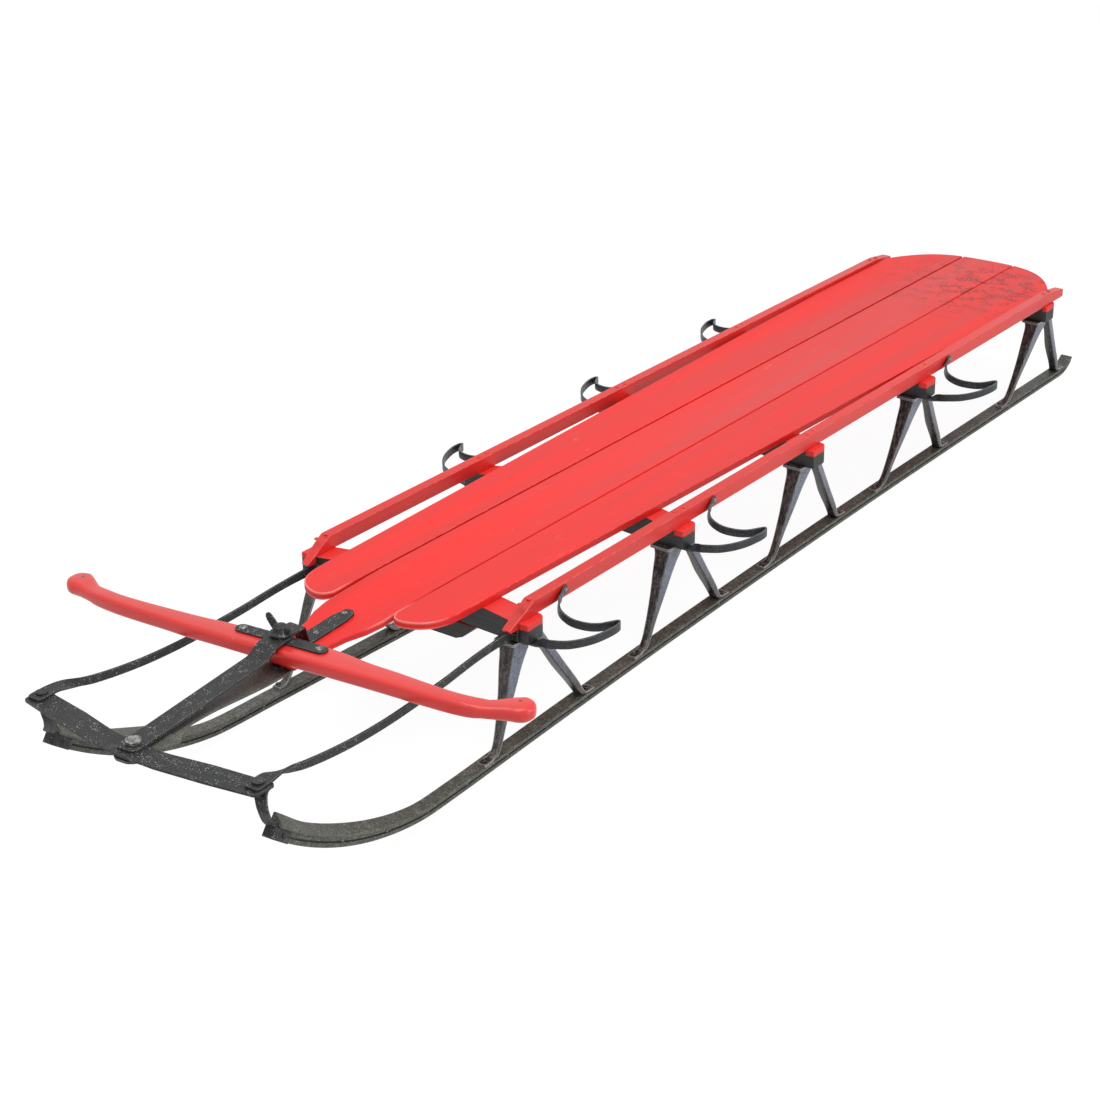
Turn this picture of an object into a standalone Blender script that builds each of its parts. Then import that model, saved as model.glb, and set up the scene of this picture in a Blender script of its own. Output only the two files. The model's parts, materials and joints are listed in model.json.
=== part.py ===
"""A long steerable snow sled: a slatted wooden deck on ten pressed-steel knees and two steel runners.

The script models the sled at real size in metres, with +Z up and the front toward -Y. Inside the
script y is counted from the steering pivot toward the tail. One parent empty then moves everything,
so that the middle of the sled's length stands on the origin. The steering is modelled as it was
left: a few degrees over to the left, with every linked piece following.
"""

import math

import bmesh
import bpy
from mathutils import Vector

# Clearances, and how far the cutters of upright holes reach
GAP = 0.0003
PIN_GAP = 0.0004
BORE_LOW = 0.15
BORE_HIGH = 0.30
CUTTER_MARGIN = 0.02

# Stations, where a bench and two knees carry the deck
FIRST_STATION = 0.312
STATION_SPACING = 0.404
LAST_SPACING = 0.522
STATION_COUNT = 5

# Deck
BOARD_THICKNESS = 0.011
DECK_TOP = 0.233
BOARD_GAP_X = 0.0588
BOARD_GAP_WIDTH = 0.003
BOARD_EDGE = 0.0015
DECK_OVERHANG_REAR = 0.1335
DECK_REAR_DROP = 0.1067
DECK_REAR_POWER = 3.24
LOBE_OVERHANG = 0.163
LOBE_HALF_WIDTH = 0.139
LOBE_CORNER = 0.020
LOBE_SLANT_LENGTH = 0.018
LOBE_SLANT_WIDTH = 0.008
LOBE_SIDE_LENGTH = 0.050
DECK_HALF_WIDTH_FRONT = 0.1405
DECK_HALF_WIDTH_REAR = 0.187
WIDENING_BEFORE_FIRST = 0.012
WIDENING_BEFORE_LAST = 0.261
TONGUE_FRONT_Y = -0.030
TONGUE_HALF_WIDTH = 0.035
TONGUE_CORNER = 0.012
TONGUE_NARROW_START = 0.150
TONGUE_NARROW_END = 0.0645
TONGUE_DROOP = 0.012
TONGUE_DROOP_START = 0.275
TONGUE_LEVEL_GAP = 0.016

# Rails
RAIL_SIDE_GAP = 0.0032
RAIL_THICKNESS = 0.0188
RAIL_HEIGHT = 0.0235
RAIL_RISE = 0.006
RAIL_OVERHANG_FRONT = 0.0425
RAIL_OVERHANG_REAR = 0.0535
RAIL_NOSE = 0.045
RAIL_NOSE_RADIUS = 0.012
RAIL_TAIL_SLOPE = 0.060
RAIL_TAIL_DROP = 0.008
RAIL_CORNER = 0.004

# Benches
BENCH_WIDTH = 0.045
BENCH_BACKSET = -0.010
BENCH_HEIGHT = 0.0322
BENCH_OVERHANG = 0.0135
LAST_BENCH_OVERHANG = 0.0054
BENCH_END_RADIUS = 0.016
BENCH_ARCH = 0.009
BENCH_STEP_GAP = 0.002

# Knees
KNEE_THICKNESS = 0.0032
KNEE_FRONT_INSET = 0.006
KNEE_REAR_INSET = 0.0085
KNEE_FRONT_REACH = 0.128
KNEE_REAR_REACH = 0.148
KNEE_FACE_WIDTH = 0.031
KNEE_FLANGE = 0.046
KNEE_REAR_WIDTH = 0.021
KNEE_REAR_FLANGE = 0.010
KNEE_LEVEL_HEIGHT = 0.040
KNEE_FOOT_INSET = 0.001
KNEE_CAP_THICKNESS = 0.004
KNEE_CAP_MARGIN = 0.002
KNEE_CAP_WIDTH = 0.039
KNEE_CAP_TAPER = 0.003
KNEE_CAP_FRONT = 0.0445
KNEE_CAP_REAR = 0.028
KNEE_CAP_FRONT_CORNER = 0.005
KNEE_CAP_REAR_CORNER = 0.008

# Steering bar
TURN = math.radians(6.0)
LEVER_LENGTH = 0.317
BAR_HALF_LENGTH = 0.412
BAR_HALF_WIDTH = 0.030
BAR_WAIST_HALF_WIDTH = 0.0185
BAR_SHOULDER = 0.100
BAR_NECK = 0.034
BAR_KNOB_RADIUS = 0.021
BAR_SWEEP = 0.0152
BAR_THICKNESS = 0.0227
BAR_EDGE = 0.006

# Iron straps
IRON_WIDTH = 0.025
IRON_THICKNESS = 0.003
CROSS_STRAP_LENGTH = 0.158
CROSS_STRAP_WIDTH = 0.021
LEVER_WIDTH = 0.034
LEVER_TAIL_WIDTH = 0.026
LEVER_TIP_WIDTH = 0.024
LEVER_LOWER_WIDTH = 0.044
LEVER_LOWER_TAPER = 0.0108
LEVER_THICKNESS = 0.004
LEVER_END_RADIUS = 0.027
LEVER_TAIL = 0.018
LEVER_TIP = 0.018
LEVER_TIP_CUT = 0.006
LEVER_BEND_AHEAD = 0.002
LEVER_SLOPE_LENGTH = 0.024
LEVER_LEVEL_RISE = 0.004
LEVER_LEVEL_LENGTH = 0.050
LEVER_UPPER_RADIUS = 0.010
LEVER_LOWER_RADIUS = 0.016
TONGUE_IRON_FRONT = 0.014
TONGUE_IRON_REAR = 0.138
TONGUE_IRON_POINT = 0.018
TONGUE_IRON_STEP_GAP = 0.0065
TONGUE_IRON_STEP = 0.002
TONGUE_IRON_RADIUS = 0.006
LOWER_IRON_FRONT = 0.020
LOWER_IRON_REAR = 0.108
LOWER_IRON_CORNER = 0.012

# Pivot bolt and wing nut
PIVOT_BOLT_RADIUS = 0.005
PIVOT_BOLT_TOP = 0.009
PIVOT_HEAD_RADIUS = 0.010
PIVOT_HEAD_HEIGHT = 0.004
NUT_FLANGE_RADIUS = 0.0165
NUT_FLANGE_HEIGHT = 0.0025
NUT_NECK_HEIGHT = 0.005
NUT_NECK_RADIUS = 0.012
NUT_TOP_RADIUS = 0.0105
NUT_HEIGHT = 0.012
EAR_ROOT = 0.0075
EAR_THICKNESS = 0.005
EAR_REACH = 0.027
EAR_HEIGHT = 0.029
STUB_REACH = 0.0195
STUB_HEIGHT = 0.0145
EAR_ROUNDING = 0.004

# Bumper and its joints
BUMPER_TOP = 0.232
BUMPER_THICKNESS = 0.005
BUMPER_END_MARGIN = 0.015
BUMPER_WIDTH = 0.037
BUMPER_AHEAD = 0.027
BUMPER_SWEEP = 0.029
BUMPER_CORNER = 0.007
BUMPER_EDGE = 0.0008
GUSSET_HALF_LENGTH = 0.074
GUSSET_REACH = 0.057
GUSSET_SHOULDER = 0.012
GUSSET_CORNER = 0.004
RIVET_INSET = 0.007
RIVET_BEHIND_PIN = 0.022
RIVET_RADIUS = 0.0035
RIVET_HEAD_RADIUS = 0.0085
RIVET_HEAD_HEIGHT = 0.003
RIVET_LUMP_HEIGHT = 0.0045
PIN_RADIUS = 0.004
PIN_HEAD_RADIUS = 0.011
PIN_HEAD_HEIGHT = 0.005
PIN_NUT_RADIUS = 0.008
BOLT_END = 0.002
SLOT_TRAVEL_REAR = 0.0036
SLOT_TRAVEL_FRONT = 0.0022
SLOT_SIDE_GAP = 0.0010

# Struts
STRUT_INSET = 0.014
STRUT_ROOT_LENGTH = 0.0175
STRUT_ROOT_HALF_WIDTH = 0.012
STRUT_ABOVE_BENCH_FOOT = 0.012
STRUT_HEIGHT = 0.017
STRUT_THICKNESS = 0.004
STRUT_TAB_WIDENING = 0.008

# Runners
STRIP_WIDTH = 0.025
STRIP_THICKNESS = 0.004
SHOE_WIDTH = 0.013
SHOE_HEIGHT = 0.0157
SHOE_GROOVE_DEPTH = 0.002
RUNNER_INSET = 0.0435
RUNNER_FLARE = 0.036925
RUNNER_FLARE_BEFORE_LAST = 0.2315
SPLIT_BEFORE_FOOT = 0.0295
BEND_BEFORE_SPLIT = 0.010
TAIL_BEHIND_FOOT = 0.064
TAIL_LENGTH = 0.0535
TAIL_RADIUS = 0.085
SOCKET_MARGIN = 0.010

# Toes
TOE_BEHIND_RIVET = 0.0045
TOE_OUTSIDE_RIVET = 0.010
TOE_BELOW_BUMPER = 0.0726
TOE_BLOCK_LENGTH = 0.024
TOE_BLOCK_HEIGHT = 0.019
TOE_BLOCK_EDGE = 0.0025
TOE_STRAP_WIDTH = 0.019
TOE_STRAP_FRONT = 0.012
TOE_STRAP_REAR = 0.016
TOE_STRAP_BACKBEND = 0.003
TOE_STRAP_DROP = 0.022
TOE_STRAP_LIFT = 0.0095
TOE_STRAP_RISE = 0.012
TOE_STRAP_LEAN = 0.004
TOE_STRAP_RADIUS = 0.008

# Foot rests
REST_HEIGHT = 0.013
REST_THICKNESS = 0.003
REST_TAB_THICKNESS = 0.003
REST_TAB_WIDTH = 0.018
REST_REACH = 0.1065
REST_RUN = 0.0715
REST_TOP_BELOW_RAIL = 0.009
REST_RAIL_GAP = 0.0004
REST_RAIL_LEAN = 0.003
LEFT_REST_STATIONS = (1, 2, 4)
RIGHT_REST_STATIONS = (2, 3, 4)

# Heights that follow from the sizes above
STRIP_BOTTOM = SHOE_HEIGHT + GAP
STRIP_TOP = STRIP_BOTTOM + STRIP_THICKNESS
DECK_BOTTOM = DECK_TOP - BOARD_THICKNESS
RAIL_TOP = DECK_TOP + RAIL_RISE
RAIL_BOTTOM = RAIL_TOP - RAIL_HEIGHT
BENCH_TOP_AT_RAIL = RAIL_BOTTOM - GAP
BENCH_TOP_AT_DECK = DECK_BOTTOM - GAP
BENCH_BOTTOM = BENCH_TOP_AT_RAIL - BENCH_HEIGHT
KNEE_TOP = BENCH_BOTTOM - GAP
TONGUE_TIP_TOP = DECK_TOP - TONGUE_DROOP
BAR_BOTTOM = TONGUE_TIP_TOP + GAP
BAR_TOP = BAR_BOTTOM + BAR_THICKNESS
BUMPER_BOTTOM = BUMPER_TOP - BUMPER_THICKNESS
STRUT_Z = BENCH_BOTTOM + STRUT_ABOVE_BENCH_FOOT
TOE_RISE = BUMPER_BOTTOM - TOE_BELOW_BUMPER

# Places across the sled that follow from them
RAIL_INNER_X = DECK_HALF_WIDTH_REAR + RAIL_SIDE_GAP
RAIL_OUTER_X = RAIL_INNER_X + RAIL_THICKNESS
KNEE_FRONT_X = RAIL_OUTER_X - KNEE_FRONT_INSET
KNEE_REAR_X = RAIL_OUTER_X - KNEE_REAR_INSET
RUNNER_HALF_SPREAD = RAIL_OUTER_X - RUNNER_INSET
STRUT_X = RAIL_OUTER_X - STRUT_INSET
RIVET_X = RAIL_OUTER_X - RIVET_INSET
BUMPER_HALF_LENGTH = RIVET_X + BUMPER_END_MARGIN
RUNNER_TOE_X = RIVET_X + TOE_OUTSIDE_RIVET

# Places along the sled that follow from them
LAST_STATION = FIRST_STATION + STATION_SPACING * (STATION_COUNT - 2) + LAST_SPACING
DECK_END_Y = LAST_STATION + DECK_OVERHANG_REAR
LOBE_FRONT_Y = FIRST_STATION - LOBE_OVERHANG
DECK_WIDEN_START = FIRST_STATION - WIDENING_BEFORE_FIRST
DECK_WIDEN_END = LAST_STATION - WIDENING_BEFORE_LAST
TONGUE_DROOP_END = BAR_HALF_WIDTH + TONGUE_LEVEL_GAP
RAIL_TIP_Y = FIRST_STATION - RAIL_OVERHANG_FRONT
RAIL_END_Y = LAST_STATION + RAIL_OVERHANG_REAR
BENCH_FRONT_Y = FIRST_STATION + BENCH_BACKSET - BENCH_WIDTH / 2
STRUT_REAR_Y = BENCH_FRONT_Y - STRUT_ROOT_LENGTH
RIVET_Y = -(LEVER_LENGTH - RIVET_BEHIND_PIN)
STRUT_LENGTH = STRUT_REAR_Y - RIVET_Y
RUNNER_SPLIT_Y = FIRST_STATION - KNEE_FRONT_REACH - SPLIT_BEFORE_FOOT
RUNNER_TOE_Y = RIVET_Y + TOE_BEHIND_RIVET
RUNNER_FRONT_LENGTH = RUNNER_SPLIT_Y - RUNNER_TOE_Y
RUNNER_FLARE_START = LAST_STATION - RUNNER_FLARE_BEFORE_LAST
RUNNER_BEND_START = RUNNER_SPLIT_Y - BEND_BEFORE_SPLIT
RUNNER_BEND_LENGTH = RUNNER_BEND_START - RUNNER_TOE_Y
RUNNER_BEND_RADIUS = (RUNNER_BEND_LENGTH**2 + TOE_RISE**2) / (2 * TOE_RISE)
TAIL_END_Y = LAST_STATION + KNEE_REAR_REACH + TAIL_BEHIND_FOOT
TAIL_BEND_START = TAIL_END_Y - TAIL_LENGTH
STRUT_TURN = TURN * LEVER_LENGTH / STRUT_LENGTH
RUNNER_TURN = TURN * LEVER_LENGTH / RUNNER_FRONT_LENGTH
FRONT_END_Y = -(LEVER_LENGTH * math.cos(TURN) + LEVER_END_RADIUS)
MIDDLE_Y = (TAIL_END_Y + FRONT_END_Y) / 2

SIDES = (("left", 1.0), ("right", -1.0))


def clear_scene():
    """Remove every object that the file opened with."""
    for scene_object in list(bpy.data.objects):
        bpy.data.objects.remove(scene_object, do_unlink=True)


def make_collection(name):
    collection = bpy.data.collections.new(name)
    bpy.context.scene.collection.children.link(collection)
    return collection


def make_material(name, colour, roughness, metallic):
    material = bpy.data.materials.new(name)
    material.use_nodes = True
    material.diffuse_color = (*colour, 1.0)
    shader = material.node_tree.nodes["Principled BSDF"]
    shader.inputs["Base Color"].default_value = (*colour, 1.0)
    shader.inputs["Roughness"].default_value = roughness
    shader.inputs["Metallic"].default_value = metallic
    return material


def make_empty(name, parent, location=(0.0, 0.0, 0.0), turn=0.0):
    """A parent empty that stands on a joint's axis, turned about the vertical."""
    empty = bpy.data.objects.new(name, None)
    empty.empty_display_size = 0.03
    empty.location = location
    empty.rotation_euler = (0.0, 0.0, turn)
    empty.parent = parent
    parts.objects.link(empty)
    return empty


def make_object(name, mesh, material, parent):
    """One named sub-part, shaded smooth except over its sharp edges."""
    mesh.materials.append(material)
    mesh.shade_smooth()
    mesh.set_sharp_from_angle(angle=math.radians(32.0))
    new_object = bpy.data.objects.new(name, mesh)
    new_object.parent = parent
    parts.objects.link(new_object)
    return new_object


def make_cutter(name, mesh, parent):
    """A hidden guide solid for a Boolean modifier."""
    cutter = bpy.data.objects.new(name, mesh)
    cutter.display_type = "WIRE"
    cutter.hide_render = True
    cutter.parent = parent
    cutters.objects.link(cutter)
    return cutter


def add_boolean(target, other, operation):
    modifier = target.modifiers.new(operation.title() + " " + other.name, "BOOLEAN")
    modifier.object = other
    modifier.operation = operation
    modifier.solver = "EXACT"


def add_bevel(target, width, segments=1, angle=50.0):
    modifier = target.modifiers.new("Rounded edges", "BEVEL")
    modifier.width = width
    modifier.segments = segments
    modifier.limit_method = "ANGLE"
    modifier.angle_limit = math.radians(angle)


def mesh_from(name, faces_mesh):
    """Finish a bmesh with its faces pointing out."""
    bmesh.ops.recalc_face_normals(faces_mesh, faces=faces_mesh.faces)
    mesh = bpy.data.meshes.new(name)
    faces_mesh.to_mesh(mesh)
    faces_mesh.free()
    return mesh


def loft(name, sections):
    """Skin a row of closed sections with the same number of points, and cap both ends."""
    skin = bmesh.new()
    loops = [[skin.verts.new(point) for point in section] for section in sections]
    for near, far in zip(loops, loops[1:]):
        for index in range(len(near)):
            following = (index + 1) % len(near)
            skin.faces.new((near[index], near[following], far[following], far[index]))
    skin.faces.new(loops[0])
    skin.faces.new(loops[-1])
    return mesh_from(name, skin)


def cylinder(name, radius, low, high, x=0.0, y=0.0, facets=24):
    """An upright cylinder between two heights."""
    solid = bmesh.new()
    bmesh.ops.create_cone(
        solid, cap_ends=True, segments=facets, radius1=radius, radius2=radius, depth=high - low
    )
    bmesh.ops.translate(solid, verts=solid.verts, vec=(x, y, (low + high) / 2))
    return mesh_from(name, solid)


def slot(name, half_width, front, rear, low, high, x=0.0):
    """An upright slot with round ends, from one y to another."""
    points = []
    for step in range(9):
        angle = math.pi * step / 8
        points.append((x + half_width * math.cos(angle), rear - half_width + half_width * math.sin(angle)))
    for step in range(9):
        angle = math.pi + math.pi * step / 8
        points.append((x + half_width * math.cos(angle), front + half_width + half_width * math.sin(angle)))
    return loft(name, [[(px, py, z) for px, py in points] for z in (low, high)])


def outline_mesh(name, points, thickness):
    """A flat piece from its outline in the XY plane, with its middle at height zero."""
    curve = bpy.data.curves.new(name + " outline", "CURVE")
    curve.dimensions = "2D"
    curve.fill_mode = "BOTH"
    curve.extrude = thickness / 2
    spline = curve.splines.new("POLY")
    spline.points.add(len(points) - 1)
    for spline_point, (x, y) in zip(spline.points, points):
        spline_point.co = (x, y, 0.0, 1.0)
    spline.use_cyclic_u = True
    curve_object = bpy.data.objects.new(name + " outline", curve)
    bpy.context.scene.collection.objects.link(curve_object)
    evaluated = curve_object.evaluated_get(bpy.context.evaluated_depsgraph_get())
    mesh = bpy.data.meshes.new_from_object(evaluated)
    bpy.data.objects.remove(curve_object, do_unlink=True)
    welded = bmesh.new()
    welded.from_mesh(mesh)
    bmesh.ops.remove_doubles(welded, verts=welded.verts, dist=0.00001)
    bpy.data.meshes.remove(mesh)
    return mesh_from(name, welded)


def lift(mesh, height):
    for vertex in mesh.vertices:
        vertex.co.z += height
    return mesh


def stand_lengthwise(mesh, middle_x):
    """Turn a flat XY outline into a side outline: its x becomes y and its y becomes z."""
    for vertex in mesh.vertices:
        along, up, aside = vertex.co
        vertex.co = (middle_x + aside, along, up)
    return mesh


def stand_crosswise(mesh, middle_y):
    """Turn a flat XY outline into a front outline: its x stays and its y becomes z."""
    for vertex in mesh.vertices:
        across, up, aside = vertex.co
        vertex.co = (across, middle_y - aside, up)
    return mesh


def rounded(corners, steps=4):
    """A closed outline from corners given as x, y and a radius of rounding."""
    points = []
    count = len(corners)
    for index, (x, y, radius) in enumerate(corners):
        corner = Vector((x, y))
        if radius == 0:
            points.append((x, y))
            continue
        before = Vector(corners[index - 1][:2]) - corner
        after = Vector(corners[(index + 1) % count][:2]) - corner
        half_angle = before.angle(after) / 2
        reach = min(radius / math.tan(half_angle), before.length * 0.49, after.length * 0.49)
        start = corner + before.normalized() * reach
        end = corner + after.normalized() * reach
        for step in range(steps + 1):
            share = step / steps
            bend = start * (1 - share) ** 2 + corner * 2 * share * (1 - share) + end * share**2
            points.append((bend.x, bend.y))
    return points


def mirrored_outline(half):
    """A closed outline from its half at positive x, given front to back."""
    other_half = [(-x, y) for x, y in reversed(half) if x > 0]
    return half + other_half


def blend(share):
    """Smooth step from 0 to 1."""
    share = min(max(share, 0.0), 1.0)
    return share * share * (3 - 2 * share)


def smooth_rows(rows, steps):
    """Rows of numbers read off a smooth curve through the given rows."""
    result = []
    for index in range(len(rows) - 1):
        before = rows[max(index - 1, 0)]
        start = rows[index]
        end = rows[index + 1]
        after = rows[min(index + 2, len(rows) - 1)]
        for step in range(steps):
            t = step / steps
            row = []
            for p0, p1, p2, p3 in zip(before, start, end, after):
                slope_in = (p2 - p0) / 2
                slope_out = (p3 - p1) / 2
                value = (
                    (2 * t**3 - 3 * t**2 + 1) * p1
                    + (t**3 - 2 * t**2 + t) * slope_in
                    + (3 * t**2 - 2 * t**3) * p2
                    + (t**3 - t**2) * slope_out
                )
                row.append(value)
            result.append(row)
    result.append(list(rows[-1]))
    return result


def strap(name, rows):
    """A flat bar along a path. A row is a middle point, the direction of the width, width and thickness."""
    middles = [Vector(row[0:3]) for row in rows]
    sections = []
    for index, row in enumerate(rows):
        ahead = middles[min(index + 1, len(rows) - 1)] - middles[max(index - 1, 0)]
        ahead.normalize()
        across = Vector(row[3:6])
        across = (across - ahead * across.dot(ahead)).normalized()
        through = ahead.cross(across)
        half_width = across * (row[6] / 2)
        half_thickness = through * (row[7] / 2)
        middle = middles[index]
        sections.append(
            (
                middle - half_width - half_thickness,
                middle + half_width - half_thickness,
                middle + half_width + half_thickness,
                middle - half_width + half_thickness,
            )
        )
    return loft(name, sections)


def side_path_strap(name, path, widths, thickness, x=0.0):
    """A strap that lies across X and bends only in the side view, along points of y and z."""
    rows = []
    for (y, z), width in zip(path, widths):
        rows.append((x, y, z, 1.0, 0.0, 0.0, width, thickness))
    return strap(name, rows)


def bent_path(corners, steps=4):
    """An open path of y and z through corners given as y, z and a bending radius."""
    path = []
    last = len(corners) - 1
    for index, (y, z, radius) in enumerate(corners):
        corner = Vector((y, z))
        if index in (0, last) or radius == 0:
            path.append((y, z))
            continue
        before = Vector(corners[index - 1][:2]) - corner
        after = Vector(corners[index + 1][:2]) - corner
        half_angle = before.angle(after) / 2
        reach = min(radius / math.tan(half_angle), before.length * 0.49, after.length * 0.49)
        start = corner + before.normalized() * reach
        end = corner + after.normalized() * reach
        for step in range(steps + 1):
            share = step / steps
            bend = start * (1 - share) ** 2 + corner * 2 * share * (1 - share) + end * share**2
            path.append((bend.x, bend.y))
    return path


def station_y(number):
    """Where a bench and its two knees stand, counted from 1 at the front."""
    if number == STATION_COUNT:
        return LAST_STATION
    return FIRST_STATION + STATION_SPACING * (number - 1)


def runner_x(y):
    """How far the runner's middle lies from the sled's middle."""
    forward = max(RUNNER_FLARE_START - y, 0.0) / (RUNNER_FLARE_START - RUNNER_SPLIT_Y)
    return RUNNER_HALF_SPREAD + RUNNER_FLARE * forward**2


def deck_half_width(y):
    """The deck widens steadily toward the rear."""
    share = (y - DECK_WIDEN_START) / (DECK_WIDEN_END - DECK_WIDEN_START)
    share = min(max(share, 0.0), 1.0)
    return DECK_HALF_WIDTH_FRONT + (DECK_HALF_WIDTH_REAR - DECK_HALF_WIDTH_FRONT) * share


def deck_rear_y(x):
    """The deck's rear edge is a flat arch with rounded shoulders."""
    return DECK_END_Y - DECK_REAR_DROP * (abs(x) / DECK_HALF_WIDTH_REAR) ** DECK_REAR_POWER


def tongue_top(y):
    """The middle board droops in front of the first bench."""
    share = max(TONGUE_DROOP_START - y, 0.0) / (TONGUE_DROOP_START - TONGUE_DROOP_END)
    return DECK_TOP - TONGUE_DROOP * min(share, 1.0) ** 1.2


def tongue_half_width(y):
    full = BOARD_GAP_X - BOARD_GAP_WIDTH / 2
    share = (y - TONGUE_NARROW_END) / (TONGUE_NARROW_START - TONGUE_NARROW_END)
    return TONGUE_HALF_WIDTH + (full - TONGUE_HALF_WIDTH) * blend(share)


def runner_bend(y):
    """Height and slope of the sole at a place along the runner."""
    if y < RUNNER_BEND_START:
        reach = RUNNER_BEND_START - y
        radius = RUNNER_BEND_RADIUS
        direction = -1.0
    elif y > TAIL_BEND_START:
        reach = y - TAIL_BEND_START
        radius = TAIL_RADIUS
        direction = 1.0
    else:
        return 0.0, 0.0
    angle = math.asin(reach / radius)
    return radius * (1 - math.cos(angle)), direction * angle


def runner_point(x, y, height):
    """A point at a height above the sole, square to the sole."""
    sole, slope = runner_bend(y)
    return (x, y - height * math.sin(slope), sole + height * math.cos(slope))


def shoe_profile(share):
    """The shoe's section: a flat head and foot with a groove along both sides."""
    half = SHOE_WIDTH / 2 * share
    waist = half - SHOE_GROOVE_DEPTH * share
    heights = (0.0, 0.30, 0.38, 0.62, 0.70, 1.0)
    widths = (half * 0.9, half, waist, waist, half, half)
    right = [(width, SHOE_HEIGHT * height) for width, height in zip(widths, heights)]
    left = [(-width, height) for width, height in reversed(right)]
    return right + left


def strip_profile(share):
    half = STRIP_WIDTH / 2 * share
    return [(-half, STRIP_BOTTOM), (half, STRIP_BOTTOM), (half, STRIP_TOP), (-half, STRIP_TOP)]


def runner_length(name, profile, places, x_at, side):
    """One length of runner. A place is a y and the share of the full width there."""
    sections = []
    for y, share in places:
        middle = x_at(y)
        sections.append([runner_point(side * (middle + across), y, height) for across, height in profile(share)])
    return loft(name, sections)


def make_runner(side_name, side, root, hinge, iron, steel):
    """A runner in two lengths: the rear one stands still, the front one bends with the steering."""
    split_x = runner_x(RUNNER_SPLIT_Y)
    toe_slope = (RUNNER_TOE_X - split_x) / RUNNER_FRONT_LENGTH

    def front_x(y):
        return toe_slope * (RUNNER_SPLIT_Y - y)

    for part, profile, width in (("strip", strip_profile, STRIP_WIDTH), ("shoe", shoe_profile, SHOE_WIDTH)):
        radius = width / 2
        straight = [RUNNER_SPLIT_Y + (TAIL_BEND_START - RUNNER_SPLIT_Y) * step / 14 for step in range(15)]
        tail = [TAIL_BEND_START + TAIL_LENGTH * step / 5 for step in range(1, 6)]
        places = [(y, 1.0) for y in straight + tail]
        mesh = runner_length(f"runner_{side_name}_{part}", profile, places, runner_x, side)
        rear = make_object(f"runner_{side_name}_{part}", mesh, steel, root)
        top = STRIP_TOP + SOCKET_MARGIN
        socket = cylinder("socket", radius + GAP, -SOCKET_MARGIN, top, side * split_x, RUNNER_SPLIT_Y, 32)
        cutter = make_cutter(f"socket {side_name} {part}", socket, root)
        add_boolean(rear, cutter, "DIFFERENCE")

        round_end = []
        for step in range(5):
            angle = math.radians(80.0 - 20.0 * step)
            round_end.append((RUNNER_SPLIT_Y + radius * math.sin(angle), math.cos(angle)))
        bend = [RUNNER_BEND_START - RUNNER_BEND_LENGTH * step / 14 for step in range(15)]
        places = round_end + [(y, 1.0) for y in bend]
        mesh = runner_length(f"runner_{side_name}_front_{part}", profile, places, front_x, side)
        for vertex in mesh.vertices:
            vertex.co.y -= RUNNER_SPLIT_Y
        make_object(f"runner_{side_name}_front_{part}", mesh, steel, hinge)

    make_toe(side_name, side, hinge, toe_slope, iron)


def make_toe(side_name, side, hinge, toe_slope, iron):
    """The block clamped on the runner's toe, and the strap that joins it to the bumper."""
    toe_x = side * toe_slope * RUNNER_FRONT_LENGTH
    sections = []
    for share in (0.0, 0.15, 0.85, 1.0):
        y = RUNNER_TOE_Y + TOE_BLOCK_LENGTH * share
        inset = TOE_BLOCK_EDGE if share in (0.0, 1.0) else 0.0
        section = []
        for across, up in ((-1, 0), (1, 0), (1, 1), (-1, 1)):
            height = STRIP_TOP + GAP + (TOE_BLOCK_HEIGHT - inset) * up
            point = runner_point(toe_x + across * (STRIP_WIDTH / 2 - inset), y, height)
            section.append((point[0], point[1] - RUNNER_SPLIT_Y, point[2]))
        sections.append(section)
    make_object(f"toe_block_{side_name}", loft(f"toe_block_{side_name}", sections), iron, hinge)

    block_top = runner_point(toe_x, RUNNER_TOE_Y + TOE_BLOCK_LENGTH / 2, STRIP_TOP + GAP + TOE_BLOCK_HEIGHT)
    rivet_x = side * (RIVET_X - runner_x(RUNNER_SPLIT_Y))
    tab_z = BUMPER_BOTTOM - GAP - IRON_THICKNESS / 2
    low_y = block_top[1]
    low_z = block_top[2] + TOE_STRAP_LIFT
    corners = (
        (RIVET_Y - TOE_STRAP_FRONT, tab_z, 0.0),
        (RIVET_Y + TOE_STRAP_REAR, tab_z, TOE_STRAP_RADIUS * 0.75),
        (RIVET_Y + TOE_STRAP_REAR - TOE_STRAP_BACKBEND, tab_z - TOE_STRAP_DROP, TOE_STRAP_RADIUS * 1.25),
        (low_y - TOE_STRAP_LEAN, low_z + TOE_STRAP_RISE, TOE_STRAP_RADIUS),
        (low_y - TOE_STRAP_LEAN / 4, low_z, 0.0),
        (low_y + TOE_STRAP_LEAN / 8, low_z - TOE_STRAP_LEAN, 0.0),
    )
    rows = []
    for y, z in bent_path(corners):
        share = blend((tab_z - z) / (tab_z - low_z))
        x = rivet_x + (toe_x - rivet_x) * share
        rows.append((x, y - RUNNER_SPLIT_Y, z, 1.0, 0.0, 0.0, TOE_STRAP_WIDTH, IRON_THICKNESS))
    tab = make_object(f"toe_strap_{side_name}", strap(f"toe_strap_{side_name}", rows), iron, hinge)
    cut_slot(tab, side_name + " toe", hinge, rivet_x, RIVET_Y - RUNNER_SPLIT_Y, BUMPER_BOTTOM, RUNNER_TURN)


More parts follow.
